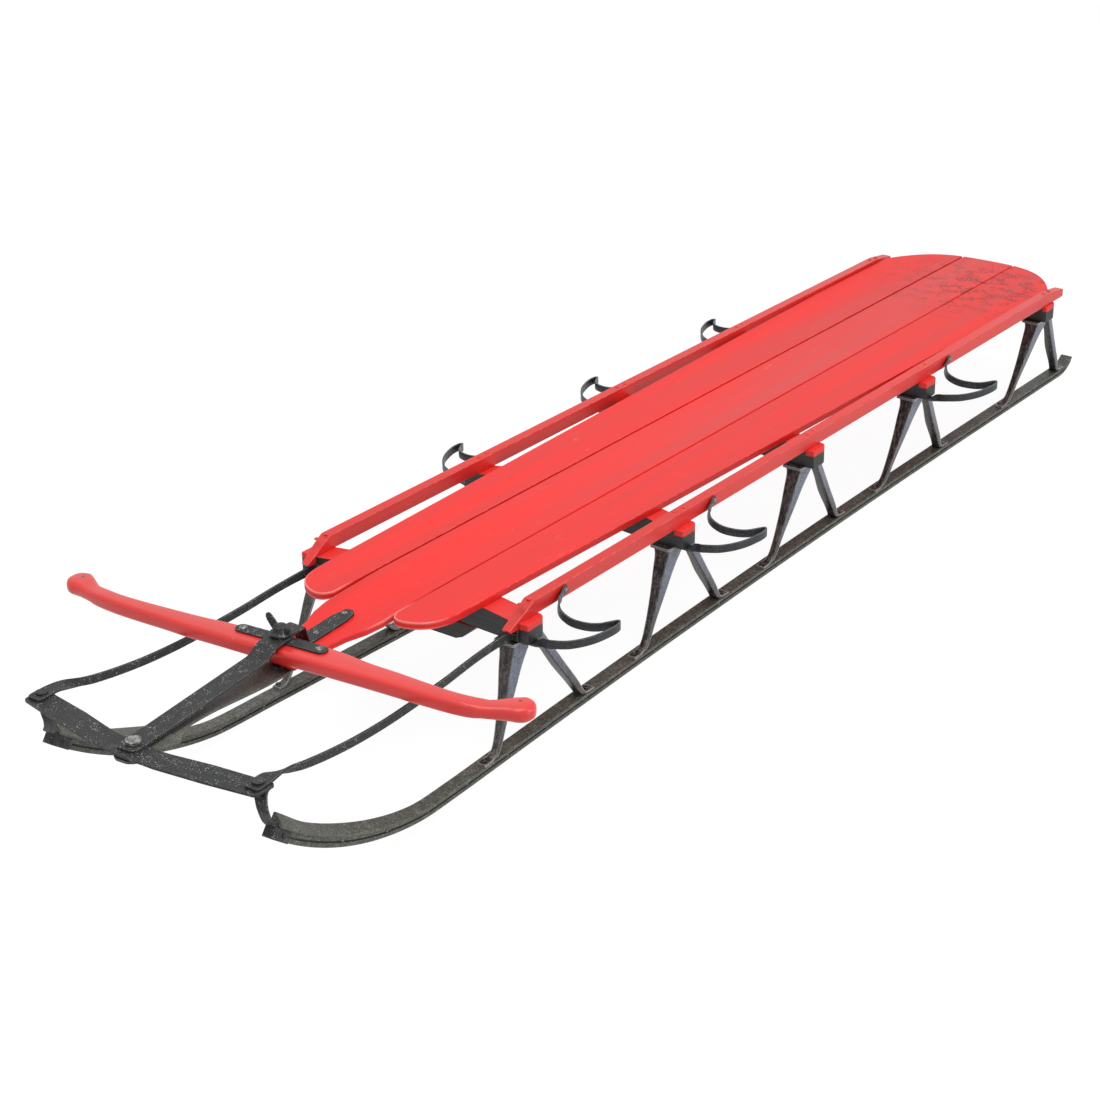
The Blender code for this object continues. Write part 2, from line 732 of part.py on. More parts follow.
def cut_slot(target, name, hinge, rivet_x, rivet_y, height, turn):
    """A slot round an end rivet, long enough for the small play that the open pivot needs."""
    reach = RIVET_RADIUS + SLOT_SIDE_GAP
    distance = math.hypot(rivet_x, rivet_y)
    drift = distance * (1 - math.cos(turn)) - LEVER_LENGTH * (1 - math.cos(TURN))
    front = rivet_y - reach - SLOT_TRAVEL_FRONT - drift
    rear = rivet_y + reach + SLOT_TRAVEL_REAR - drift
    mesh = slot("slot", reach, front, rear, height - CUTTER_MARGIN, height + CUTTER_MARGIN, rivet_x)
    add_boolean(target, make_cutter("slot " + name, mesh, hinge), "DIFFERENCE")


def make_deck(root, red_paint):
    """Three boards with two narrow gaps between them."""
    inner_x = BOARD_GAP_X + BOARD_GAP_WIDTH / 2
    middle_z = DECK_TOP - BOARD_THICKNESS / 2
    for side_name, side in SIDES:
        outline = rounded(
            [
                (inner_x, LOBE_FRONT_Y + LOBE_SLANT_LENGTH, LOBE_CORNER * 0.2),
                (inner_x + LOBE_SLANT_WIDTH, LOBE_FRONT_Y, LOBE_CORNER * 0.6),
                (LOBE_HALF_WIDTH - LOBE_CORNER / 4, LOBE_FRONT_Y, LOBE_CORNER),
                (LOBE_HALF_WIDTH, LOBE_FRONT_Y + LOBE_SIDE_LENGTH, LOBE_CORNER),
                (DECK_HALF_WIDTH_FRONT, DECK_WIDEN_START, 0.0),
                (DECK_HALF_WIDTH_REAR, DECK_WIDEN_END, 0.0),
            ],
            steps=5,
        )
        for step in range(13):
            x = DECK_HALF_WIDTH_REAR + (inner_x - DECK_HALF_WIDTH_REAR) * step / 12
            outline.append((x, deck_rear_y(x)))
        mesh = outline_mesh(f"deck_board_{side_name}", [(side * x, y) for x, y in outline], BOARD_THICKNESS)
        board = make_object(f"deck_board_{side_name}", lift(mesh, middle_z), red_paint, root)
        add_bevel(board, BOARD_EDGE)

    full = BOARD_GAP_X - BOARD_GAP_WIDTH / 2
    rows = [
        (TONGUE_FRONT_Y, TONGUE_HALF_WIDTH - TONGUE_CORNER),
        (TONGUE_FRONT_Y + TONGUE_CORNER / 6, TONGUE_HALF_WIDTH - TONGUE_CORNER / 2),
        (TONGUE_FRONT_Y + TONGUE_CORNER * 2 / 3, TONGUE_HALF_WIDTH),
    ]
    for step in range(1, 11):
        y = TONGUE_FRONT_Y + (TONGUE_DROOP_START - TONGUE_FRONT_Y) * step / 10
        rows.append((y, tongue_half_width(y)))
    rear_y = deck_rear_y(full)
    rows += [(TONGUE_DROOP_START + (rear_y - TONGUE_DROOP_START) * step / 3, full) for step in (1, 2, 3)]
    rows += [(deck_rear_y(full * share), full * share) for share in (0.66, 0.33, 0.08)]
    sections = []
    for y, half in rows:
        top = tongue_top(y)
        bottom = top - BOARD_THICKNESS
        sections.append(
            (
                (-half, y, bottom + BOARD_EDGE),
                (-half + BOARD_EDGE, y, bottom),
                (half - BOARD_EDGE, y, bottom),
                (half, y, bottom + BOARD_EDGE),
                (half, y, top - BOARD_EDGE),
                (half - BOARD_EDGE, y, top),
                (-half + BOARD_EDGE, y, top),
                (-half, y, top - BOARD_EDGE),
            )
        )
    make_object("deck_board_middle", loft("deck_board_middle", sections), red_paint, root)


def make_rails(root, red_paint):
    """A side rail is a straight lath with a sloping nose and a shallow slope at its tail."""
    outline = rounded(
        [
            (RAIL_TIP_Y + RAIL_CORNER, RAIL_BOTTOM, RAIL_CORNER),
            (RAIL_TIP_Y, RAIL_BOTTOM + RAIL_CORNER, RAIL_CORNER),
            (RAIL_TIP_Y + RAIL_NOSE, RAIL_TOP, RAIL_NOSE_RADIUS),
            (RAIL_END_Y - RAIL_TAIL_SLOPE, RAIL_TOP, RAIL_NOSE_RADIUS),
            (RAIL_END_Y, RAIL_TOP - RAIL_TAIL_DROP, RAIL_CORNER),
            (RAIL_END_Y - RAIL_CORNER / 2, RAIL_BOTTOM, RAIL_CORNER),
        ]
    )
    for side_name, side in SIDES:
        mesh = outline_mesh(f"rail_{side_name}", outline, RAIL_THICKNESS)
        stand_lengthwise(mesh, side * (RAIL_OUTER_X - RAIL_THICKNESS / 2))
        rail = make_object(f"rail_{side_name}", mesh, red_paint, root)
        add_bevel(rail, BOARD_EDGE)


def make_benches(root, black_paint):
    """A bench is a cross-beam. It steps up from the rails to the deck, and its underside is arched."""
    for number in range(1, STATION_COUNT + 1):
        middle = station_y(number) + BENCH_BACKSET
        overhang = LAST_BENCH_OVERHANG if number == STATION_COUNT else BENCH_OVERHANG
        half_length = RAIL_OUTER_X + overhang
        rise_start = deck_half_width(middle - BENCH_WIDTH / 2) + BENCH_STEP_GAP
        rise_start = min(rise_start, RAIL_INNER_X - BENCH_STEP_GAP)
        rise_start = max(rise_start, deck_half_width(middle + BENCH_WIDTH / 2) + GAP)
        half = [(0.0, BENCH_BOTTOM + BENCH_ARCH)]
        knee_inner = RAIL_OUTER_X - KNEE_FRONT_INSET - KNEE_CAP_WIDTH
        for step in range(1, 6):
            share = step / 5
            half.append((knee_inner * share, BENCH_BOTTOM + BENCH_ARCH * (1 - blend(share))))
        half += [
            (half_length, BENCH_BOTTOM),
            (half_length, BENCH_TOP_AT_RAIL),
            (RAIL_INNER_X - GAP, BENCH_TOP_AT_RAIL),
            (rise_start, BENCH_TOP_AT_DECK),
            (0.0, BENCH_TOP_AT_DECK),
        ]
        mesh = outline_mesh(f"bench_{number}", mirrored_outline(half), BENCH_WIDTH)
        bench = make_object(f"bench_{number}", stand_crosswise(mesh, middle), black_paint, root)
        rear_y = middle + BENCH_WIDTH / 2 + GAP
        plan = rounded(
            [
                (-half_length - GAP, middle - BENCH_WIDTH, 0.0),
                (half_length + GAP, middle - BENCH_WIDTH, 0.0),
                (half_length + GAP, rear_y, BENCH_END_RADIUS),
                (-half_length - GAP, rear_y, BENCH_END_RADIUS),
            ]
        )
        limit = lift(outline_mesh("bench ends", plan, BENCH_HEIGHT * 2), BENCH_BOTTOM + BENCH_HEIGHT / 2)
        add_boolean(bench, make_cutter(f"bench ends {number}", limit, root), "INTERSECT")


def angle_leg(name, places, top_x, foot_x, level_above, side):
    """A pressed angle-iron leg. A place is y, z, the width across and the width of the side flange.

    The front or under face spans across, toward the sled's middle. The side flange stands square
    to it. Above a given height the sections are level, and below it they turn with the leg.
    """
    top_z = places[0][1]
    foot_z = places[-1][1]
    sections = []
    for index, (y, z, across, flange) in enumerate(places):
        before = places[max(index - 1, 0)]
        after = places[min(index + 1, len(places) - 1)]
        run = Vector((after[0] - before[0], after[1] - before[1])).normalized()
        depth = Vector((1.0, 0.0)) if z > level_above else Vector((-run.y, run.x))
        if depth.y < -0.01:
            flange = min(flange, (z - STRIP_TOP - GAP) / -depth.y)
        flange = max(flange, KNEE_THICKNESS * 1.02)
        share = (z - foot_z) / (top_z - foot_z)
        outer = foot_x + (top_x - foot_x) * share
        corners = (
            (0.0, 0.0),
            (across, 0.0),
            (across, KNEE_THICKNESS),
            (KNEE_THICKNESS, KNEE_THICKNESS),
            (KNEE_THICKNESS * 0.8, flange),
            (0.0, flange),
        )
        section = []
        for inward, deep in corners:
            section.append((side * (outer - inward), y + depth.x * deep, z + depth.y * deep))
        sections.append(section)
    return loft(name, sections)


def make_knee(name, station, side, root, iron):
    """A pressed-steel knee: a broad front leg, a narrow rear leg and a cap under the bench.

    The tables give a leg from its top to its foot, as shares of its reach along the sled, of its
    height, of its width across and of its side flange.
    """
    leg_top = KNEE_TOP - KNEE_CAP_THICKNESS / 2
    front = (
        (0.316, 1.000, 1.000, 1.000),
        (0.367, 0.898, 0.919, 0.891),
        (0.469, 0.677, 0.855, 0.717),
        (0.562, 0.455, 0.806, 0.587),
        (0.672, 0.232, 0.774, 0.500),
        (0.734, 0.118, 0.742, 0.457),
        (0.789, 0.051, 0.726, 0.413),
        (0.867, 0.017, 0.710, 0.348),
        (0.961, 0.000, 0.710, 0.000),
        (1.039, 0.000, 0.710, 0.000),
        (1.102, 0.000, 0.548, 0.000),
    )
    rear = (
        (0.068, 1.000, 0.857, 1.000),
        (0.253, 0.765, 0.690, 0.950),
        (0.497, 0.459, 0.857, 0.900),
        (0.716, 0.198, 0.786, 0.850),
        (0.804, 0.085, 0.762, 0.800),
        (0.865, 0.026, 0.857, 0.700),
        (0.932, 0.000, 1.000, 0.500),
        (1.014, 0.000, 1.000, 0.000),
        (1.081, 0.000, 0.762, 0.000),
    )

    def leg_places(table, reach, foot_z, width, flange_width):
        places = []
        for along, up, across, flange in table:
            z = foot_z + (leg_top - foot_z) * up
            places.append((station + reach * along, z, width * across, flange_width * flange))
        return places

    rear_foot_z = STRIP_TOP + GAP
    front_foot_z = rear_foot_z + KNEE_THICKNESS
    front_places = leg_places(front, -KNEE_FRONT_REACH, front_foot_z, KNEE_FACE_WIDTH, KNEE_FLANGE)
    rear_places = leg_places(rear, KNEE_REAR_REACH, rear_foot_z, KNEE_REAR_WIDTH, KNEE_REAR_FLANGE)
    foot_edge = STRIP_WIDTH / 2 - KNEE_FOOT_INSET
    front_x = runner_x(station - KNEE_FRONT_REACH) + foot_edge
    rear_x = runner_x(station + KNEE_REAR_REACH) + foot_edge
    mesh = angle_leg(name, front_places, KNEE_FRONT_X, front_x, KNEE_LEVEL_HEIGHT, side)
    knee = make_object(name, mesh, iron, root)
    rear_mesh = angle_leg("rear leg", rear_places, KNEE_REAR_X, rear_x, KNEE_TOP, side)
    add_boolean(knee, make_cutter(f"rear leg {name}", rear_mesh, root), "UNION")
    cap_outer = KNEE_FRONT_X + KNEE_CAP_MARGIN
    cap_inner = cap_outer - KNEE_CAP_WIDTH
    cap = rounded(
        [
            (side * cap_outer, station - KNEE_CAP_FRONT, KNEE_CAP_FRONT_CORNER),
            (side * cap_outer, station + KNEE_CAP_REAR, KNEE_CAP_REAR_CORNER),
            (side * (cap_inner + KNEE_CAP_TAPER), station + KNEE_CAP_REAR, KNEE_CAP_REAR_CORNER),
            (side * cap_inner, station - KNEE_CAP_FRONT, KNEE_CAP_FRONT_CORNER),
        ],
        steps=2,
    )
    cap_mesh = lift(outline_mesh("cap", cap, KNEE_CAP_THICKNESS), KNEE_TOP - KNEE_CAP_THICKNESS / 2)
    add_boolean(knee, make_cutter(f"cap {name}", cap_mesh, root), "UNION")


def make_foot_rest(name, station, side, root, iron):
    """A hooped strap: out from the bench, back on itself, and up to the rail.

    The table gives the hoop as shares of its reach out from the rail, of its run along the sled
    and of its rise, then the direction of the strap's width.
    """
    root_z = BENCH_BOTTOM - GAP - REST_TAB_THICKNESS / 2
    rise = RAIL_TOP - REST_TOP_BELOW_RAIL - root_z
    rail_side = RAIL_OUTER_X + GAP + REST_THICKNESS / 2
    tab = (
        (0.033, -0.224, 0.000, (0.0, 1.0, 0.0), REST_TAB_WIDTH),
        (0.141, -0.224, 0.000, (0.0, 1.0, 0.05), REST_TAB_WIDTH * 0.95),
        (0.263, -0.224, 0.082, (0.0, 0.7, 0.7), REST_HEIGHT * 1.08),
    )
    hoop = (
        (0.441, -0.294, 0.191, (0.0, 0.15, 1.0)),
        (0.704, -0.168, 0.273, (0.0, 0.0, 1.0)),
        (0.901, 0.196, 0.334, (0.0, 0.0, 1.0)),
        (0.995, 0.643, 0.385, (0.0, 0.0, 1.0)),
        (1.000, 0.923, 0.406, (0.0, 0.0, 1.0)),
        (0.958, 1.000, 0.416, (0.0, 0.0, 1.0)),
        (0.920, 0.923, 0.426, (0.0, 0.0, 1.0)),
        (0.808, 0.615, 0.447, (0.0, 0.0, 1.0)),
        (0.648, 0.462, 0.467, (0.0, 0.0, 1.0)),
        (0.423, 0.420, 0.498, (0.0, 0.0, 1.0)),
        (0.197, 0.517, 0.590, (0.0, 0.0, 1.0)),
        (0.080, 0.699, 0.723, (0.0, 0.25, 1.0)),
    )
    end = (
        (REST_RAIL_GAP + REST_RAIL_LEAN, 0.853, 0.857, (0.0, 0.55, 0.85)),
        (REST_RAIL_GAP + REST_RAIL_LEAN / 10, 1.007, 0.949, (0.0, 0.50, 0.90)),
        (REST_RAIL_GAP, 1.119, 1.000, (0.0, 0.35, 1.0)),
    )
    rows = []
    for out, along, up, across, width in tab:
        place = (RAIL_OUTER_X + REST_REACH * out, REST_RUN * along, root_z + rise * up)
        rows.append((*place, *across, width, REST_TAB_THICKNESS))
    for out, along, up, across in hoop:
        place = (RAIL_OUTER_X + REST_REACH * out, REST_RUN * along, root_z + rise * up)
        rows.append((*place, *across, REST_HEIGHT, REST_THICKNESS))
    for away, along, up, across in end:
        rows.append((rail_side + away, REST_RUN * along, root_z + rise * up, *across, REST_HEIGHT, REST_THICKNESS))
    placed = []
    for x, y, z, across_x, across_y, across_z, width, thickness in smooth_rows(rows, 2):
        placed.append((side * x, station + y, z, side * across_x, across_y, across_z, width, thickness))
    make_object(name, strap(name, placed), iron, root)


def bar_outline():
    """The steering bar in plan: thick in the middle, swept back, with a round knob at each end."""
    knob_x = BAR_HALF_LENGTH - BAR_KNOB_RADIUS
    waist_x = knob_x - BAR_NECK
    front = []
    rear = []
    for step in range(10):
        x = waist_x * step / 9
        share = blend((x - BAR_SHOULDER) / (waist_x - BAR_SHOULDER))
        half = BAR_HALF_WIDTH + (BAR_WAIST_HALF_WIDTH - BAR_HALF_WIDTH) * share
        sweep = BAR_SWEEP * (x / knob_x) ** 2
        front.append((x, sweep - half))
        rear.append((x, sweep + half))
    knob = []
    for step in range(8):
        angle = math.radians(-75.0 + 23.5 * step)
        knob.append((knob_x + BAR_KNOB_RADIUS * math.cos(angle), BAR_SWEEP + BAR_KNOB_RADIUS * math.sin(angle)))
    return mirrored_outline(front + knob + rear[::-1])


def make_steering(steering, red_paint, iron, worn_iron):
    """The wooden bar, the iron cross strap and the two lever straps that carry the bumper's pin."""
    mesh = lift(outline_mesh("steering_bar", bar_outline(), BAR_THICKNESS), BAR_BOTTOM + BAR_THICKNESS / 2)
    bar = make_object("steering_bar", mesh, red_paint, steering)
    add_bevel(bar, BAR_EDGE, segments=2)
    bore = cylinder("pivot bore", PIVOT_BOLT_RADIUS + PIN_GAP, BORE_LOW, BORE_HIGH)
    pivot_bore = make_cutter("pivot bore", bore, steering)
    bore = cylinder("pin bore", PIN_RADIUS + PIN_GAP, BORE_LOW, BORE_HIGH, y=-LEVER_LENGTH)
    pin_bore = make_cutter("pin bore", bore, steering)
    add_boolean(bar, pivot_bore, "DIFFERENCE")

    half = CROSS_STRAP_LENGTH / 2
    end = CROSS_STRAP_WIDTH / 2
    outline = rounded([(half, -end, end), (half, end, end), (-half, end, end), (-half, -end, end)], steps=6)
    strap_z = BAR_TOP + GAP + IRON_THICKNESS / 2
    mesh = lift(outline_mesh("steering_cross_strap", outline, IRON_THICKNESS), strap_z)
    cross = make_object("steering_cross_strap", mesh, iron, steering)
    add_boolean(cross, pivot_bore, "DIFFERENCE")

    lever_z = BAR_TOP + 2 * GAP + IRON_THICKNESS + LEVER_THICKNESS / 2
    low_z = BUMPER_TOP + GAP + LEVER_THICKNESS / 2
    bend_y = -BAR_HALF_WIDTH - LEVER_BEND_AHEAD
    tip_y = -LEVER_LENGTH - LEVER_TIP
    corners = (
        (LEVER_TAIL, lever_z, 0.0),
        (0.0, lever_z, 0.0),
        (bend_y, lever_z, LEVER_UPPER_RADIUS),
        (bend_y - LEVER_SLOPE_LENGTH, low_z + LEVER_LEVEL_RISE, LEVER_LOWER_RADIUS),
        (-LEVER_LENGTH + LEVER_LEVEL_LENGTH, low_z, LEVER_LEVEL_LENGTH),
        (tip_y + LEVER_TIP_CUT, low_z, 0.0),
        (tip_y, low_z, 0.0),
    )
    path = bent_path(corners)
    widths = [LEVER_TAIL_WIDTH] + [LEVER_WIDTH] * (len(path) - 2) + [LEVER_TIP_WIDTH]
    mesh = side_path_strap("lever_top_strap", path, widths, LEVER_THICKNESS)
    top_strap = make_object("lever_top_strap", mesh, iron, steering)
    add_boolean(top_strap, pivot_bore, "DIFFERENCE")
    add_boolean(top_strap, pin_bore, "DIFFERENCE")

    tongue_bottom = TONGUE_TIP_TOP - BOARD_THICKNESS
    lower_z = tongue_bottom - 2 * GAP - IRON_THICKNESS - LEVER_THICKNESS / 2
    front_z = BUMPER_BOTTOM - 2 * GAP - IRON_THICKNESS - LEVER_THICKNESS / 2
    pad = LEVER_LOWER_WIDTH / 2
    rows = []
    for share in (0.0, 0.12, 0.45, 0.8):
        width = LEVER_LOWER_WIDTH * math.sin(math.radians(25.0 + 65.0 * share / 0.8))
        rows.append((pad * (1 - share), lower_z, width))
    slope_end = -(LEVER_LENGTH - LEVER_END_RADIUS * 3)
    for step in range(5):
        share = step / 4
        y = -pad + (slope_end + pad) * share
        rows.append((y, lower_z + (front_z - lower_z) * blend(share), LEVER_LOWER_WIDTH - LEVER_LOWER_TAPER * share))
    for degrees in (140.0, 115.0, 90.0, 65.0, 45.0, 28.0, 12.0):
        angle = math.radians(degrees)
        y = -LEVER_LENGTH - LEVER_END_RADIUS * math.cos(angle)
        rows.append((y, front_z, 2 * LEVER_END_RADIUS * math.sin(angle)))
    path = [(y, z) for y, z, width in rows]
    widths = [width for y, z, width in rows]
    mesh = side_path_strap("lever_bottom_strap", path, widths, LEVER_THICKNESS)
    bottom_strap = make_object("lever_bottom_strap", mesh, worn_iron, steering)
    add_boolean(bottom_strap, pivot_bore, "DIFFERENCE")
    add_boolean(bottom_strap, pin_bore, "DIFFERENCE")
    return lever_z, lower_z


def make_pivot(root, lever_z, lower_z, iron):
    """The tongue's irons, the bolt through the pivot and the wing nut on it."""
    bore_mesh = cylinder("tongue bore", PIVOT_BOLT_RADIUS + PIN_GAP, BORE_LOW, BORE_HIGH)
    bore = make_cutter("tongue bore", bore_mesh, root)
    add_boolean(bpy.data.objects["deck_board_middle"], bore, "DIFFERENCE")

    over_z = lever_z + LEVER_THICKNESS / 2 + GAP + IRON_THICKNESS / 2
    step_y = BAR_HALF_WIDTH + TONGUE_IRON_STEP_GAP

    def on_tongue(y):
        return tongue_top(y) + GAP + IRON_THICKNESS / 2

    point_y = TONGUE_IRON_REAR - TONGUE_IRON_POINT
    corners = [
        (-TONGUE_IRON_FRONT, over_z, 0.0),
        (0.0, over_z, 0.0),
        (step_y, over_z, TONGUE_IRON_RADIUS),
        (step_y + TONGUE_IRON_STEP, on_tongue(step_y + TONGUE_IRON_STEP_GAP), TONGUE_IRON_RADIUS),
    ]
    for share in (0.26, 0.68, 1.0):
        y = step_y + (point_y - step_y) * share
        corners.append((y, on_tongue(y), 0.0))
    for share in (0.5, 1.0):
        y = point_y + TONGUE_IRON_POINT * share
        corners.append((y, on_tongue(y), 0.0))
    path = bent_path(corners)
    point_widths = [IRON_WIDTH, IRON_WIDTH * 0.62, IRON_WIDTH * 0.15]
    widths = [IRON_WIDTH * 0.7] + [IRON_WIDTH] * (len(path) - 4) + point_widths
    mesh = side_path_strap("tongue_top_iron", path, widths, IRON_THICKNESS)
    top_iron = make_object("tongue_top_iron", mesh, iron, root)
    add_boolean(top_iron, bore, "DIFFERENCE")

    def under_tongue(y):
        return tongue_top(y) - BOARD_THICKNESS - GAP - IRON_THICKNESS / 2

    front = -LOWER_IRON_FRONT
    rear = LOWER_IRON_REAR - LOWER_IRON_CORNER
    places = [front, front + LOWER_IRON_CORNER]
    places += [front + (rear - front) * share for share in (0.35, 0.6, 0.85, 1.0)]
    places.append(LOWER_IRON_REAR)
    widths = [IRON_WIDTH * 0.6] + [IRON_WIDTH] * 5 + [IRON_WIDTH * 0.6]
    path = [(y, under_tongue(y)) for y in places]
    mesh = side_path_strap("tongue_bottom_iron", path, widths, IRON_THICKNESS)
    bottom_iron = make_object("tongue_bottom_iron", mesh, iron, root)
    add_boolean(bottom_iron, bore, "DIFFERENCE")

    head_top = lower_z - LEVER_THICKNESS / 2 - GAP
    nut_low = over_z + IRON_THICKNESS / 2 + GAP
    shank = cylinder("pivot_bolt", PIVOT_BOLT_RADIUS, head_top - BOLT_END, nut_low + PIVOT_BOLT_TOP)
    bolt = make_object("pivot_bolt", shank, iron, root)
    head_mesh = cylinder("head", PIVOT_HEAD_RADIUS, head_top - BOLT_END - PIVOT_HEAD_HEIGHT, head_top, facets=6)
    add_boolean(bolt, make_cutter("pivot head", head_mesh, root), "UNION")
    make_wing_nut(nut_low, root, iron)


def make_wing_nut(low, root, iron):
    """A cast wing nut: a turned boss, one tall upswept ear, and a short blunt one on the other side."""
    profile = (
        (NUT_FLANGE_RADIUS, low),
        (NUT_FLANGE_RADIUS, low + NUT_FLANGE_HEIGHT),
        (NUT_NECK_RADIUS, low + NUT_NECK_HEIGHT),
        (NUT_TOP_RADIUS, low + NUT_HEIGHT),
        (PIVOT_BOLT_RADIUS + GAP, low + NUT_HEIGHT),
        (PIVOT_BOLT_RADIUS + GAP, low),
    )
    ring = bmesh.new()
    loops = []
    for step in range(18):
        angle = 2 * math.pi * step / 18
        section = [(radius * math.cos(angle), radius * math.sin(angle), z) for radius, z in profile]
        loops.append([ring.verts.new(point) for point in section])
    for index, near in enumerate(loops):
        far = loops[(index + 1) % len(loops)]
        for corner in range(len(near)):
            following = (corner + 1) % len(near)
            ring.faces.new((near[corner], near[following], far[following], far[corner]))
    nut = make_object("wing_nut", mesh_from("wing_nut", ring), iron, root)
    root_low = low + NUT_FLANGE_HEIGHT * 1.2
    root_high = low + NUT_HEIGHT * 0.87
    tall_ear = [
        (EAR_ROOT, root_low, 0.0),
        (EAR_REACH * 0.56, root_low, EAR_ROUNDING / 2),
        (EAR_REACH, low + EAR_HEIGHT * 0.55, EAR_ROUNDING),
        (EAR_REACH * 0.89, low + EAR_HEIGHT, EAR_ROUNDING),
        (EAR_REACH * 0.52, low + EAR_HEIGHT * 0.76, EAR_ROUNDING),
        (EAR_ROOT, root_high, 0.0),
    ]
    short_ear = [
        (EAR_ROOT, root_low, 0.0),
        (STUB_REACH * 0.77, root_low, EAR_ROUNDING / 2),
        (STUB_REACH, low + STUB_HEIGHT * 0.6, EAR_ROUNDING / 2),
        (STUB_REACH * 0.85, low + STUB_HEIGHT, EAR_ROUNDING / 2),
        (EAR_ROOT, root_high, 0.0),
    ]
    for name, ear, direction in (("tall ear", tall_ear, -1.0), ("short ear", short_ear, 1.0)):
        outline = rounded([(direction * x, z, radius) for x, z, radius in ear])
        mesh = stand_crosswise(outline_mesh(name, outline, EAR_THICKNESS), 0.0)
        add_boolean(nut, make_cutter(name, mesh, root), "UNION")


def make_bumper(bumper, iron):
    """The chevron bumper, the gusset under its middle, the pin bolt and the two end rivets."""
    end = BUMPER_HALF_LENGTH
    front = ((0.0, 0.0, 0.0), (0.276, 0.121, 0.23), (0.645, 0.517, 0.37))
    rear = ((0.553, 0.552, 0.28), (0.230, 0.086, 0.18), (0.0, 0.0, 0.0))
    half = [(end * x, BUMPER_SWEEP * y - BUMPER_AHEAD, end * radius) for x, y, radius in front]
    half.append((end, BUMPER_SWEEP - BUMPER_AHEAD, BUMPER_CORNER))
    half.append((end, BUMPER_SWEEP - BUMPER_AHEAD + BUMPER_WIDTH, BUMPER_CORNER))
    half += [(end * x, BUMPER_SWEEP * y - BUMPER_AHEAD + BUMPER_WIDTH, end * radius) for x, y, radius in rear]
    mesh = outline_mesh("bumper", mirrored_outline(rounded(half, steps=3)), BUMPER_THICKNESS)
    plate = make_object("bumper", lift(mesh, BUMPER_TOP - BUMPER_THICKNESS / 2), iron, bumper)
    add_bevel(plate, BUMPER_EDGE)
    for side_name, side in SIDES:
        hole = cylinder(
            "rivet hole", RIVET_RADIUS + GAP, BORE_LOW, BORE_HIGH, side * RIVET_X, RIVET_BEHIND_PIN, 16
        )
        add_boolean(plate, make_cutter(f"rivet hole {side_name}", hole, bumper), "DIFFERENCE")
    bolt_hole = make_cutter("pin hole", cylinder("pin hole", PIN_RADIUS + GAP, BORE_LOW, BORE_HIGH), bumper)
    add_boolean(plate, bolt_hole, "DIFFERENCE")

    gusset_z = BUMPER_BOTTOM - GAP - IRON_THICKNESS / 2
    wide = GUSSET_HALF_LENGTH
    outline = rounded(
        [
            (wide, GUSSET_SHOULDER, GUSSET_CORNER),
            (wide * 0.38, GUSSET_REACH, GUSSET_CORNER * 1.5),
            (-wide * 0.38, GUSSET_REACH, GUSSET_CORNER * 1.5),
            (-wide, GUSSET_SHOULDER, GUSSET_CORNER),
            (-wide * 0.41, -GUSSET_SHOULDER, GUSSET_CORNER * 2.5),
            (wide * 0.41, -GUSSET_SHOULDER, GUSSET_CORNER * 2.5),
        ]
    )
    mesh = lift(outline_mesh("bumper_gusset", outline, IRON_THICKNESS), gusset_z)
    gusset = make_object("bumper_gusset", mesh, iron, bumper)
    add_boolean(gusset, bolt_hole, "DIFFERENCE")

    top = BUMPER_TOP + 2 * GAP + LEVER_THICKNESS
    bottom = BUMPER_BOTTOM - 3 * GAP - IRON_THICKNESS - LEVER_THICKNESS
    pin = make_object("pin_bolt", cylinder("pin_bolt", PIN_RADIUS, bottom - BOLT_END, top + BOLT_END), iron, bumper)
    head = make_cutter("pin head", cylinder("pin head", PIN_HEAD_RADIUS, top, top + PIN_HEAD_HEIGHT), bumper)
    add_boolean(pin, head, "UNION")
    nut_mesh = cylinder("pin nut", PIN_NUT_RADIUS, bottom - PIN_HEAD_HEIGHT, bottom, facets=6)
    add_boolean(pin, make_cutter("pin nut", nut_mesh, bumper), "UNION")

    top = BUMPER_TOP + 2 * GAP + STRUT_THICKNESS
    bottom = BUMPER_BOTTOM - 2 * GAP - IRON_THICKNESS
    for side_name, side in SIDES:
        x = side * RIVET_X
        y = RIVET_BEHIND_PIN
        name = f"bumper_rivet_{side_name}"
        shank = cylinder(name, RIVET_RADIUS, bottom - BOLT_END, top + BOLT_END, x, y, 16)
        rivet = make_object(name, shank, iron, bumper)
        head = cylinder("rivet head", RIVET_HEAD_RADIUS, top, top + RIVET_HEAD_HEIGHT, x, y, 20)
        add_boolean(rivet, make_cutter(f"rivet head {side_name}", head, bumper), "UNION")
        lump = cylinder("rivet lump", RIVET_HEAD_RADIUS, bottom - RIVET_LUMP_HEIGHT, bottom, x, y, 12)
        add_boolean(rivet, make_cutter(f"rivet lump {side_name}", lump, bumper), "UNION")


